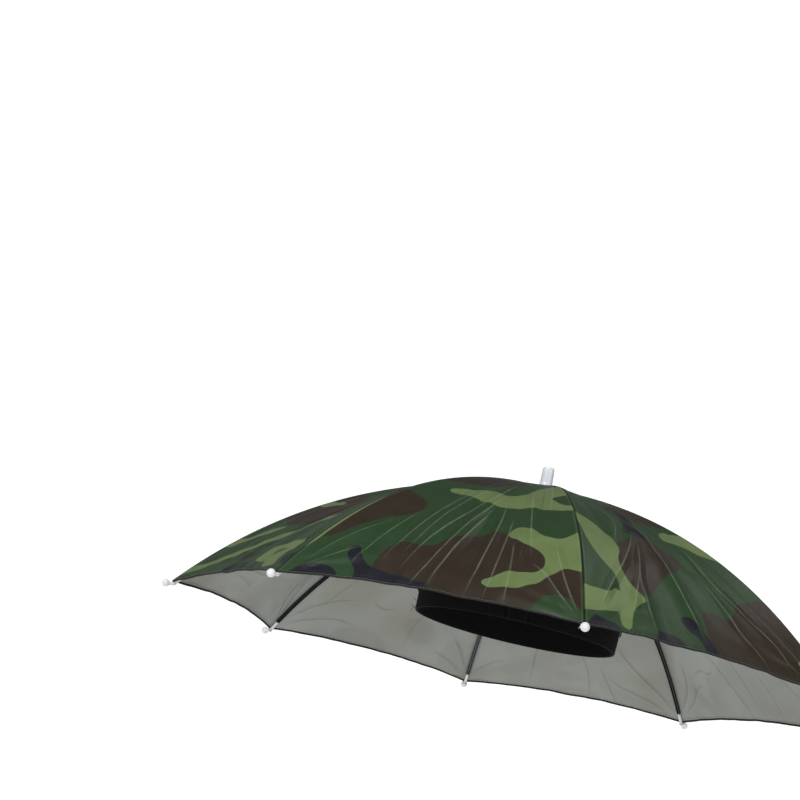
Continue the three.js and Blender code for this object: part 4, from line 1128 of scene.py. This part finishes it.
def canopy_wall(sizes):
    """Points, faces, face finishes, cloth coordinates and print fields of the canopy."""
    across, down = canopy_shares(sizes)
    gores = [gore_points(sizes, gore, across, down)[:, :-1] for gore in range(1, GORES + 1)]
    outer = np.concatenate(gores, axis=1)
    ahead = np.gradient(outer, axis=0)
    aside = np.roll(outer, -1, axis=1) - np.roll(outer, 1, axis=1)
    normal = np.cross(ahead, aside)
    normal /= np.linalg.norm(normal, axis=-1, keepdims=True)
    inner = (outer - normal * sizes.cloth)[::2, ::2]
    points = np.concatenate([outer.reshape(-1, 3), inner.reshape(-1, 3)])

    faces, finishes, corners = [], [], []
    flat_x, flat_y = flat_place(sizes, across, down)
    first = len(outer.reshape(-1, 3))
    for start, step, rows, columns, finish in ((0, 1, ROWS, COLUMNS, 0),
                                               (first, 2, ROWS // 2, COLUMNS // 2, 1)):
        wide = GORES * columns
        row, gore, column = np.meshgrid(range(rows), range(GORES), range(columns), indexing="ij")
        place = start + row * wide + gore * columns + column
        aside = start + row * wide + (gore * columns + column + 1) % wide
        quad = np.stack([place, place + wide, aside + wide, aside], -1).reshape(-1, 4)
        r, c = row.ravel() * step, column.ravel() * step
        ring = [(r, c), (r + step, c), (r + step, c + step), (r, c + step)]
        flat = np.stack([np.stack([flat_x[at], flat_y[at]], -1) for at in ring], axis=1)
        if finish:
            quad, flat = quad[:, ::-1], flat[:, ::-1]
        faces += quad.tolist()
        corners.append(flat.reshape(-1, 2))
        finishes += [finish] * len(quad)

    wide = GORES * COLUMNS
    for outer_row, inner_row, order in ((ROWS, ROWS // 2, 1), (0, 0, -1)):
        for k in range(wide // 2):
            o = [outer_row * wide + (2 * k + i) % wide for i in range(3)]
            i = [first + inner_row * wide // 2 + (k + j) % (wide // 2) for j in range(2)]
            strip = [(o[0], i[0], o[1]), (o[1], i[0], i[1]), (o[1], i[1], o[2])]
            faces += [face[::order] for face in strip]
            finishes += [1] * 3
            corners.append(np.zeros((9, 2)))

    creases = [f"{part}_{layer}" for layer in CREASE_LAYERS for part in ("distance", "strength")]
    fields = {name: [] for name in (*TINTS, *creases, "seam_distance")}
    for gore in range(1, GORES + 1):
        found = print_fields(sizes, gore, across, down)
        for layer in CREASE_LAYERS:
            parts = crease_fields(sizes, gore, across, down, layer)
            found[f"distance_{layer}"], found[f"strength_{layer}"] = parts
        found["seam_distance"] = (1 - np.abs(across)) * half_width(sizes, down)
        for name, values in found.items():
            fields[name].append(values[:, :-1])
    for name, values in fields.items():
        whole = np.concatenate(values, axis=1)
        fields[name] = np.concatenate([whole.ravel(), whole[::2, ::2].ravel()])
    return points, faces, finishes, np.concatenate(corners), fields


def canopy(sizes):
    points, faces, finishes, corners, fields = canopy_wall(sizes)
    piece = new_object("canopy", points, faces)
    mesh = piece.data
    mesh.materials.append(finish_for("printed_cloth"))
    mesh.materials.append(finish_for("silver_coat"))
    mesh.polygons.foreach_set("material_index", finishes)
    mesh.uv_layers.new(name="cloth").data.foreach_set("uv", corners.ravel().astype(np.float32))
    for name, values in fields.items():
        mesh.attributes.new(name, "FLOAT", "POINT").data.foreach_set("value", values.astype(np.float32))
    return settled(piece, 50)


def hem_path(sizes, inset, sink):
    """Closed path along the hem, at an inset from its edge and a depth under the outer face."""
    across, _ = canopy_shares(sizes)
    level = 1 - inset / slant(sizes)
    path = []
    for gore in range(1, GORES + 1):
        shares = np.stack([across[-1]] * 3)
        depths = np.stack([np.full(COLUMNS + 1, level - 2e-3), np.full(COLUMNS + 1, level),
                           np.full(COLUMNS + 1, level + 2e-3)])
        grid = gore_points(sizes, gore, shares, depths)
        normal = np.cross(grid[2] - grid[0], np.gradient(grid[1], axis=0))
        normal /= np.linalg.norm(normal, axis=-1, keepdims=True)
        path.append((grid[1] - normal * sink)[:-1])
    path = np.concatenate(path)
    return np.concatenate([path, path[:1]])


def hem(sizes):
    """Dark thread inside the hem's edge, and a line of stitches on each face of the cloth."""
    edge = threaded("hem_edging", "dark_thread", sizes.hem_thread,
                    hem_path(sizes, sizes.hem_thread_inset, sizes.cloth))
    lines = [hem_path(sizes, sizes.stitch_inset, sink) for sink in (0, sizes.cloth)]
    stitches = stitched("hem_stitches", "dull_thread", sizes.stitch_pitch, sizes.stitch_length,
                        sizes.stitch_thickness, *lines)
    return settled(edge), settled(stitches)


# Rib frame

def rib_frame(sizes, share):
    """Origin of a rib's crease and the directions along it and out of the cloth, with the rib on +X."""
    step = 1e-3
    rise = (rib_height(sizes, share + step) - rib_height(sizes, share - step)) / (2 * step * sizes.rim_radius)
    along = Vector((1, 0, rise)).normalized()
    origin = Vector((share * sizes.rim_radius, 0, rib_height(sizes, share)))
    return origin, along, along.cross(Vector((0, 1, 0)))


def rib_depth(sizes, share):
    """Depth of a rib's back below the crease, clear of the cloth that falls away beside it."""
    across = sizes.rib_width / 2 / half_width(sizes, share) - 1
    origin, _, top = rib_frame(sizes, share)
    beside = turned_about(plain_cloth(sizes, np.array(across), np.array(share)), HALF_GORE)
    gather = float(crown_gather(np.array(across), np.array(share)))
    return sizes.rib_under + (origin - Vector(beside)).dot(top) - gather


def swept(name, outline, places):
    """A solid swept through places, each an origin, a sideways and an upward direction."""
    points, faces = [], []
    for origin, side, up in places:
        points += [origin + side * x + up * y for x, y in outline]
    count = len(outline)
    for row in range(len(places) - 1):
        for i in range(count):
            a, b = row * count + i, row * count + (i + 1) % count
            faces.append((a, b, b + count, a + count))
    last = (len(places) - 1) * count
    faces += [tuple(reversed(range(count))), tuple(range(last, last + count))]
    made = new_object(name, points, faces)
    return outward_faces(made)


def outward_faces(piece):
    built = bmesh.new()
    built.from_mesh(piece.data)
    bmesh.ops.remove_doubles(built, verts=built.verts, dist=1e-7)
    bmesh.ops.recalc_face_normals(built, faces=built.faces)
    built.to_mesh(piece.data)
    built.free()
    return piece


def bevelled(piece, width, segments=2):
    bevel = piece.modifiers.new("Edges", "BEVEL")
    bevel.width = width
    bevel.segments = segments
    bevel.limit_method = "ANGLE"
    bevel.angle_limit = math.radians(35)
    return settled(piece)


def lathed(name, profile, sides=48):
    """A solid turned about Z from radius and height pairs. Its ends lie on the axis, or it closes."""
    points, faces = [], []
    for turn in range(sides):
        angle = 2 * math.pi * turn / sides
        points += [(r * math.cos(angle), r * math.sin(angle), z) for r, z in profile]
    count = len(profile)
    for turn in range(sides):
        here, after = turn * count, (turn + 1) % sides * count
        for i in range(count - 1):
            faces.append((here + i, after + i, after + i + 1, here + i + 1))
    made = new_object(name, points, faces)
    built = bmesh.new()
    built.from_mesh(made.data)
    bmesh.ops.remove_doubles(built, verts=built.verts, dist=1e-7)
    bmesh.ops.dissolve_degenerate(built, edges=built.edges, dist=1e-8)
    bmesh.ops.recalc_face_normals(built, faces=built.faces)
    built.to_mesh(made.data)
    built.free()
    return made


def stretcher_line(sizes):
    """Inner and outer end of a stretcher's middle, with the rib on +X."""
    share = sizes.stretcher_reach / sizes.rim_radius
    origin, along, top = rib_frame(sizes, share)
    roof = origin - top * (rib_depth(sizes, share) + sizes.rib_wall + 0.0003)
    end = roof.z + (sizes.stretcher_reach - roof.x) * along.z / along.x - sizes.stretcher_height / 2
    low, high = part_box("runner")
    return (Vector((sizes.stretcher_start, 0, (low.z + high.z) / 2)),
            Vector((sizes.stretcher_reach, 0, end)))


def ribs(sizes):
    half, wall, depth = sizes.rib_width / 2, sizes.rib_wall, sizes.rib_depth
    inside = half - wall
    outline = [(-half, -depth), (-inside, -depth), (-inside, -wall), (inside, -wall),
               (inside, -depth), (half, -depth), (half, 0), (-half, 0)]
    _, along, _ = rib_frame(sizes, 1)
    start = sizes.rib_start / sizes.rim_radius
    end = 1 - (sizes.shank_length + 0.0003) * along.x / sizes.rim_radius
    places = []
    for share in np.linspace(start, end, 44):
        origin, _, top = rib_frame(sizes, float(share))
        places.append((origin - top * rib_depth(sizes, float(share)), Vector((0, 1, 0)), top))
    return bevelled(swept("rib", outline, places), 0.00012)


def rivet_heads(sizes, name, centre, spread, finish):
    """A rivet's two domed heads, spread apart along Y."""
    radius = sizes.rivet
    dome = [(0, 0), (radius, 0)]
    dome += [(radius * math.cos(a), 0.45 * radius * math.sin(a)) for a in np.linspace(0.2, 1.3, 4)]
    dome.append((0, 0.45 * radius))
    heads = []
    for side in (-1, 1):
        head = lathed(f"{name}_head", dome, 16)
        turn = Matrix.Rotation(-side * math.pi / 2, 4, "X")
        head.data.transform(Matrix.Translation(centre + Vector((0, side * spread, 0))) @ turn)
        head.data.materials.append(finish_for(finish))
        heads.append(head)
    return joined(name, heads)


def rib_set(sizes):
    """The eight ribs and the eight stretchers with their rivets."""
    rib = ribs(sizes)
    turn = Matrix.Rotation(rib_angle(1), 4, "Z")
    rib.data.transform(turn)
    place_piece(ring_of("ribs", rib, "rib_steel"), "black_steel", *numbered("rib"))
    inner, outer = stretcher_line(sizes)
    half, tall = sizes.stretcher_width / 2, sizes.stretcher_height / 2
    box = [(-half, -tall), (half, -tall), (half, tall), (-half, tall)]
    run = (outer - inner).normalized()
    up = run.cross(Vector((0, 1, 0)))
    places = [(inner.lerp(outer, share), Vector((0, 1, 0)), Vector((0, 0, 1)))
              for share in np.linspace(0, 1, 12)]
    bar = bevelled(swept("stretcher", box, places), 0.0002)
    bar.data.transform(turn)
    place_piece(ring_of("stretchers", bar, "painted_steel"), "black_steel", *numbered("stretcher"))
    pins = rivet_heads(sizes, "rivet", outer - run * 0.004 + up * 0.0002, sizes.rib_width / 2, "bright_steel")
    pins.data.transform(turn)
    place_piece(ring_of("rivets", pins, "bright_steel"), "black_steel")


def rib_tips(sizes):
    """Ball tips on their shanks, with the thread that ties the cloth's corner to each."""
    ball, shank = sizes.ball / 2, sizes.shank / 2
    origin, along, top = rib_frame(sizes, 1)
    depth = rib_depth(sizes, 1) + sizes.rib_wall + 0.0003 + 0.0006
    side, bend = Vector((1, 0, 0)), Vector((0, 0, sizes.neck_start))
    centre = Vector((0, depth + sizes.ball_rise, sizes.ball_reach))
    run = (centre - bend).normalized()
    straight = Vector((0, 0, 1))
    profile = [(-sizes.shank_length, shank * 0.8), (0.0004 - sizes.shank_length, shank),
               (0.003 - sizes.shank_length, shank * 0.92), (0.0003, shank * 0.95)]
    rings = [(Vector((0, 0, height)), straight, radius) for height, radius in profile]
    rings.append((bend, (straight + run).normalized(), shank))
    rings += [(centre - run * ball * math.cos(a), run, max(ball * math.sin(a), 1e-5))
              for a in np.linspace(math.asin(0.94 * shank / ball), math.pi, 18)]
    outline = [(math.cos(a), math.sin(a)) for a in np.linspace(0, 2 * math.pi, 32, endpoint=False)]
    places = [(place, side * radius, lean.cross(side) * radius) for place, lean, radius in rings]
    tip = swept("rib_tip", outline, places)
    windings = [[(1.04 * shank * math.cos(a), 1.04 * shank * math.sin(a), -0.0018 + 0.00045 * a / math.pi)
                 for a in np.linspace(0, 6 * math.pi, 72)]]
    basis = Matrix((Vector((0, 1, 0)), top, along)).transposed().to_4x4()
    placed = Matrix.Rotation(rib_angle(1), 4, "Z") @ Matrix.Translation(origin - top * depth) @ basis
    tip.data.transform(placed)
    place_piece(ring_of("rib_tips", tip, "ball_plastic", 60), "white_plastic", *numbered("rib_tip"))
    thread = threaded("tip_thread", "pale_thread", 0.00022, *windings, sides=6)
    thread.data.transform(placed)
    place_piece(ring_of("tip_threads", thread, "pale_thread", 60), "white_plastic")
    corner = Vector(turned_about(origin, rib_angle(TIP_TAIL_RIB)))
    loose = [corner + Vector(offset) for offset in TIP_TAIL]
    tail = threaded("tip_thread_tail", "pale_thread", 0.0002, loose, sides=6)
    place_piece(settled(tail), "white_plastic")


# Crown

def smooth_profile(corners, steps=4):
    """A profile with its corners rounded between the first and the last point."""
    points = np.array(corners, float)
    for _ in range(steps):
        inner = np.stack([0.75 * points[:-1] + 0.25 * points[1:], 0.25 * points[:-1] + 0.75 * points[1:]], 1)
        points = np.concatenate([points[:1], inner.reshape(-1, 2)[1:-1], points[-1:]])
    return [tuple(point) for point in points]


def crown_cap(sizes):
    shell, skirt = sizes.cap / 2, sizes.cap_skirt / 2
    bore = sizes.stem / 2 + 0.0003
    crown = rib_height(sizes, 0)
    base = rib_height(sizes, skirt / sizes.rim_radius) - crown + 0.0003
    top = sizes.cap_height
    outside = smooth_profile([(skirt, base), (skirt, base + 0.0012), (shell + 0.0004, 0.0032),
                              (shell, 0.0055), (shell, top - 0.0034), (shell * 0.9, top - 0.0008),
                              (shell * 0.5, top), (0, top)], 3)
    profile = [(0, 0.013), (bore, 0.013), (bore, 0.0003), *outside]
    piece = lathed("crown_cap_plastic", profile, 64)
    piece.data.transform(Matrix.Translation((0, 0, crown)))
    piece.data.materials.append(finish_for("cap_plastic"))
    return settled(piece, 50)


def slotted_ring(name, node_name, slot_width, slot_start):
    """A hub or runner over its solid: a ring with a bore for the stem and eight slots."""
    low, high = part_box(node_name)
    outer = (high.x - low.x) / 2
    bore = 0.0023
    half = slot_width / 2
    steps = 8
    outline, inside = [], []
    for rib in range(1, GORES + 1):
        middle = rib_angle(rib)
        edge = math.asin(half / outer)
        floor = math.atan2(half, slot_start)
        reach = slot_start / math.cos(floor)
        corners = [(reach, middle - floor), (reach, middle + floor)]
        start, end = middle + edge, middle + 2 * HALF_GORE - edge
        corners += [(outer, start + (end - start) * i / steps) for i in range(steps + 1)]
        outline += [(r * math.cos(a), r * math.sin(a)) for r, a in corners]
        inside += [(bore * math.cos(a), bore * math.sin(a)) for _, a in corners]
    count = len(outline)
    levels = ((outline, low.z), (inside, low.z), (outline, high.z), (inside, high.z))
    points = [(x, y, z) for ring, z in levels for x, y in ring]
    faces = []
    for i in range(count):
        j = (i + 1) % count
        for a, b in ((0, 1), (1, 3), (3, 2), (2, 0)):
            faces.append((a * count + i, a * count + j, b * count + j, b * count + i))
    piece = outward_faces(new_object(name, points, faces))
    piece.data.materials.append(finish_for("hub_plastic"))
    return bevelled(piece, 0.0003)


def crown(sizes):
    """Cap, stem, hub and runner."""
    place_piece(crown_cap(sizes), "white_plastic", "crown_cap")
    low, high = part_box("stem")
    rod, collar = sizes.stem / 2, (high.x - low.x) / 2
    shoulder = low.z + 0.0016
    profile = [(0, low.z), (collar - 0.0003, low.z), (collar, low.z + 0.0003), (collar, shoulder - 0.0003),
               (collar - 0.0003, shoulder), (rod, shoulder), (rod, high.z - 0.0003), (rod - 0.0003, high.z),
               (0, high.z)]
    stem = lathed("stem_rod", profile, 48)
    stem.data.materials.append(finish_for("painted_steel"))
    place_piece(settled(stem, 30), "black_steel", "stem")
    hub = slotted_ring("hub_ring", "hub", sizes.rib_width + 0.0006, 0.0060)
    place_piece(hub, "black_plastic", "hub")
    runner = slotted_ring("runner_ring", "runner", sizes.stretcher_width + 0.0006,
                          sizes.stretcher_start - 0.0003)
    place_piece(runner, "black_plastic", "runner")


# Headband

def band_frame(sizes, angle, height):
    """Point of the elastic's middle at a parameter of its oval, with its outward direction."""
    long, short = sizes.band_length / 2, sizes.band_breadth / 2
    normal = Vector((math.cos(angle) / short, math.sin(angle) / long, 0)).normalized()
    back = max(0, math.sin(angle)) ** 2
    lean = sizes.band_lean * back * (0.5 - height / sizes.band_width)
    return Vector((short * math.cos(angle), long * math.sin(angle), height)) - normal * lean, normal


def band_parameter(sizes, direction):
    return math.atan2(math.sin(direction) / sizes.band_length, math.cos(direction) / sizes.band_breadth)


def elastic_strip(sizes, name, angles, rows, inside, outside, closed):
    """A length of elastic over a range of the oval, with rounded edges and its own cloth map."""
    half, middle, thick = sizes.band_width / 2, (inside + outside) / 2, (outside - inside) / 2
    section = [(outside, half * s) for s in np.linspace(-0.97, 0.97, rows)]
    section += [(middle + thick * math.cos(a), half * (0.97 + 0.03 * math.sin(a))) for a in (0.6, 1.57, 2.5)]
    section += [(inside, -half * s) for s in np.linspace(-0.97, 0.97, rows)]
    section += [(middle + thick * math.cos(a), half * (-0.97 + 0.03 * math.sin(a))) for a in (3.8, 4.71, 5.7)]
    around = [0.0]
    points = []
    for step, angle in enumerate(angles):
        for offset, height in section:
            place, normal = band_frame(sizes, angle, height)
            points.append(place + normal * offset)
        if step:
            here, before = band_frame(sizes, angle, 0)[0], band_frame(sizes, angles[step - 1], 0)[0]
            around.append(around[-1] + (here - before).length)
    count, total = len(section), len(angles)
    around.append(around[-1] + around[1])
    faces, flat = [], []
    for step in range(total if closed else total - 1):
        after = (step + 1) % total
        for i in range(count):
            j = (i + 1) % count
            faces.append((step * count + i, after * count + i, after * count + j, step * count + j))
            rows_of = [section[i][1], section[i][1], section[j][1], section[j][1]]
            runs = [around[step], around[step + 1], around[step + 1], around[step]]
            flat += list(zip(runs, rows_of))
    if not closed:
        for ring, order in ((0, 1), (total - 1, -1)):
            cap = [ring * count + i for i in range(count)][::order]
            faces.append(tuple(cap))
            flat += [(around[ring], section[i % count][1]) for i in range(count)][::order]
    piece = new_object(name, points, faces)
    layer = piece.data.uv_layers.new(name="cloth")
    layer.data.foreach_set("uv", np.array(flat, np.float32).ravel())
    return piece


def flip_if_inside_out(piece):
    built = bmesh.new()
    built.from_mesh(piece.data)
    if built.calc_volume(signed=True) < 0:
        bmesh.ops.reverse_faces(built, faces=built.faces)
    built.to_mesh(piece.data)
    built.free()
    return piece


def softened_copy(name, node_name, levels=2, crease=0.75):
    """A smoothed copy of a swept solid, whose long edges stay firm."""
    built = bmesh.new()
    built.from_mesh(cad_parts[node_name].data)
    bmesh.ops.remove_doubles(built, verts=built.verts, dist=1e-6)
    bmesh.ops.join_triangles(built, faces=built.faces, cmp_seam=False, cmp_sharp=False, cmp_uvs=False,
                             cmp_vcols=False, cmp_materials=False, angle_face_threshold=3.1,
                             angle_shape_threshold=3.1)
    layer = built.edges.layers.float.new("crease_edge")
    for edge in built.edges:
        if len(edge.link_faces) == 2 and edge.calc_face_angle() > math.radians(60):
            edge[layer] = crease
    made = new_object(name, [], [])
    built.to_mesh(made.data)
    built.free()
    made.modifiers.new("Soft", "SUBSURF").levels = levels
    made.modifiers["Soft"].render_levels = levels
    return settled(made, 60)


def headband(sizes):
    """The elastic ring, its lapped join and its four straps, with their stitches."""
    ring = elastic_strip(sizes, "headband_elastic", np.linspace(0, 2 * math.pi, 360, endpoint=False), 12,
                         -sizes.band_thickness / 2, sizes.band_thickness / 2, True)
    ring.data.materials.append(finish_for("ribbed_elastic"))
    place_piece(settled(flip_if_inside_out(ring), 60), "black_elastic", "headband")
    low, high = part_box("band_join")
    middle = band_parameter(sizes, math.atan2((low.y + high.y) / 2, (low.x + high.x) / 2))
    half = sizes.join_width / sizes.band_length
    inside = sizes.band_thickness / 2 + 0.0003
    lap = elastic_strip(sizes, "band_join_elastic", np.linspace(middle - half, middle + half, 16), 12,
                        inside, inside + 0.0014, False)
    lap.data.materials.append(finish_for("ribbed_elastic"))
    place_piece(settled(flip_if_inside_out(lap), 60), "black_elastic", "band_join")
    lines = []
    for side in (-0.82, 0.82):
        line = []
        for height in np.linspace(-0.46, 0.46, 24) * sizes.band_width:
            place, normal = band_frame(sizes, middle + side * half, float(height))
            line.append(place + normal * (inside + 0.0014))
        lines.append(line)
    stitches = stitched("join_stitches", "dark_thread", 0.0026, 0.002, 0.0005, *lines)
    place_piece(settled(stitches), "black_elastic")
    aside, ahead = BAND_TAIL_DIRECTION
    edge = band_parameter(sizes, math.atan2(ahead, aside))
    place, normal = band_frame(sizes, edge, -0.44 * sizes.band_width)
    tails = [[place + normal * (0.0008 + out) + Vector((0, 0, up)) for out, up in tail]
             for tail in BAND_TAILS]
    loose = threaded("band_thread_tails", "dark_thread", 0.00022, *tails, sides=6)
    place_piece(settled(loose), "black_elastic")
    for number in range(1, len(STRAP_RIBS) + 1):
        strap = softened_copy(f"band_strap_{number}_elastic", f"band_strap_{number}")
        strap.data.materials.append(finish_for("ribbed_elastic"))
        strap.data.uv_layers.new(name="cloth")
        uv = np.array([strap.data.vertices[loop.vertex_index].co for loop in strap.data.loops], np.float32)
        flat = np.stack([uv[:, 0] + uv[:, 1], uv[:, 2]], axis=-1)
        strap.data.uv_layers["cloth"].data.foreach_set("uv", flat.ravel())
        place_piece(strap, "black_elastic", f"band_strap_{number}")


# Stage

def backdrop(settings):
    """A floor that curves up all round into a backdrop."""
    radius, drop = settings.floor_radius, settings.floor_drop
    profile = [(0, -drop), (radius * 0.5, -drop), (radius, -drop)]
    bend = 1.5
    profile += [(radius + bend * math.sin(a), -drop + bend * (1 - math.cos(a)))
                for a in np.linspace(0.15, math.pi / 2, 12)]
    profile.append((radius + bend, 3.5))
    piece = lathed("backdrop", profile, 96)
    flip_inward(piece)
    piece.data.materials.append(finish_for("studio_stage"))
    piece.data.shade_smooth()


def flip_inward(piece):
    built = bmesh.new()
    built.from_mesh(piece.data)
    middle = min(built.faces, key=lambda face: face.calc_center_median().length)
    if middle.normal.z < 0:
        bmesh.ops.reverse_faces(built, faces=built.faces)
    built.to_mesh(piece.data)
    built.free()


def soft_light(name, place, aim, size, power):
    light = bpy.data.lights.new(name, "AREA")
    light.shape = "DISK"
    light.size = size
    light.energy = power
    made = bpy.data.objects.new(name, light)
    made.location = place
    made.rotation_euler = (Vector(aim) - Vector(place)).to_track_quat("-Z", "Y").to_euler()
    bpy.context.scene.collection.objects.link(made)


def camera(settings):
    place, aim = Vector(CAMERA_PLACE), Vector(CAMERA_AIM)
    ahead = (aim - place).normalized()
    right = ahead.cross(Vector((0, 0, 1))).normalized()
    up = right.cross(ahead)
    cosine, sine = math.cos(settings.roll), math.sin(settings.roll)
    axes = Matrix((right * cosine + up * sine, up * cosine - right * sine, -ahead)).transposed()
    lens = bpy.data.cameras.new("camera")
    lens.lens = settings.focal_length
    lens.sensor_width = 36
    lens.clip_start, lens.clip_end = 0.01, 50
    made = bpy.data.objects.new("camera", lens)
    made.matrix_world = Matrix.Translation(place) @ axes.to_4x4()
    bpy.context.scene.collection.objects.link(made)
    bpy.context.scene.camera = made


# Operators

class HAT_OT_canopy(bpy.types.Operator):
    """Build the printed canopy with its hem"""

    bl_idname = "umbrella_hat.canopy"
    bl_label = "Canopy"

    def execute(self, context):
        sizes = context.scene.hat_sizes
        piece = canopy(sizes)
        place_piece(piece, "camouflage_cloth", *numbered("gore"))
        trims = hem(sizes)
        for trim in trims:
            place_piece(trim, "camouflage_cloth")
        return {"FINISHED"}


class HAT_OT_rib_frame(bpy.types.Operator):
    """Build the ribs, the stretchers and their rivets"""

    bl_idname = "umbrella_hat.rib_frame"
    bl_label = "Ribs and stretchers"

    def execute(self, context):
        rib_set(context.scene.hat_sizes)
        return {"FINISHED"}


class HAT_OT_rib_tips(bpy.types.Operator):
    """Build the ball tips and the thread round their shanks"""

    bl_idname = "umbrella_hat.rib_tips"
    bl_label = "Ball tips"

    def execute(self, context):
        rib_tips(context.scene.hat_sizes)
        return {"FINISHED"}


class HAT_OT_crown(bpy.types.Operator):
    """Build the crown cap, the stem, the hub and the runner"""

    bl_idname = "umbrella_hat.crown"
    bl_label = "Crown"

    def execute(self, context):
        crown(context.scene.hat_sizes)
        return {"FINISHED"}


class HAT_OT_headband(bpy.types.Operator):
    """Build the elastic headband, its join and its straps"""

    bl_idname = "umbrella_hat.headband"
    bl_label = "Headband"

    def execute(self, context):
        headband(context.scene.hat_sizes)
        return {"FINISHED"}


class HAT_OT_stage(bpy.types.Operator):
    """Build the floor, the backdrop, the lights and the camera"""

    bl_idname = "umbrella_hat.stage"
    bl_label = "Stage"

    def execute(self, context):
        settings = context.scene.hat_stage
        backdrop(settings)
        soft_light("key_light", (0.7, -1.4, 1.4), (0, 0, 0), 1.1, settings.key_light)
        soft_light("fill_light", (1.9, 0.6, 0.7), (0, 0, 0), 1.2, settings.fill_light)
        soft_light("back_light", (-0.1, 0.9, 1.4), (0, 0, 0.05), 0.5, settings.back_light)
        soft_light("low_light", (0.9, -1.3, -0.5), (0, 0, 0.05), 0.6, settings.low_light)
        camera(settings)
        context.scene.view_settings.view_transform = "Standard"
        world = context.scene.world or bpy.data.worlds.new("world")
        context.scene.world = world
        world.use_nodes = True
        background = world.node_tree.nodes["Background"]
        background.inputs["Color"].default_value = (1, 1, 1, 1)
        world.node_tree.links.new(seen_and_cast(world.node_tree, 1.2, settings.sky),
                                  background.inputs["Strength"])
        return {"FINISHED"}


STEPS = (HAT_OT_canopy, HAT_OT_rib_frame, HAT_OT_rib_tips, HAT_OT_crown, HAT_OT_headband, HAT_OT_stage)


class HAT_PT_panel(bpy.types.Panel):
    """Sizes, colours and steps of the umbrella hat"""

    bl_idname = "HAT_PT_panel"
    bl_label = "Umbrella Hat"
    bl_space_type = "VIEW_3D"
    bl_region_type = "UI"
    bl_category = "Umbrella Hat"

    def draw(self, context):
        for step in STEPS:
            self.layout.operator(step.bl_idname)
        for settings in (context.scene.hat_sizes, context.scene.hat_colours, context.scene.hat_stage):
            column = self.layout.column()
            for name in settings.bl_rna.properties.keys():
                if name not in ("rna_type", "name"):
                    column.prop(settings, name)


CLASSES = (HatSizes, HatColours, StageSettings, *STEPS, HAT_PT_panel)


def register():
    for item in CLASSES:
        bpy.utils.register_class(item)
    bpy.types.Scene.hat_sizes = PointerProperty(type=HatSizes)
    bpy.types.Scene.hat_colours = PointerProperty(type=HatColours)
    bpy.types.Scene.hat_stage = PointerProperty(type=StageSettings)


def unregister():
    for name in ("hat_sizes", "hat_colours", "hat_stage"):
        delattr(bpy.types.Scene, name)
    for item in reversed(CLASSES):
        bpy.utils.unregister_class(item)


def main():
    register()
    bpy.ops.umbrella_hat.canopy()
    bpy.ops.umbrella_hat.rib_frame()
    bpy.ops.umbrella_hat.rib_tips()
    bpy.ops.umbrella_hat.crown()
    bpy.ops.umbrella_hat.headband()
    bpy.ops.umbrella_hat.stage()


if __name__ == "__main__":
    main()
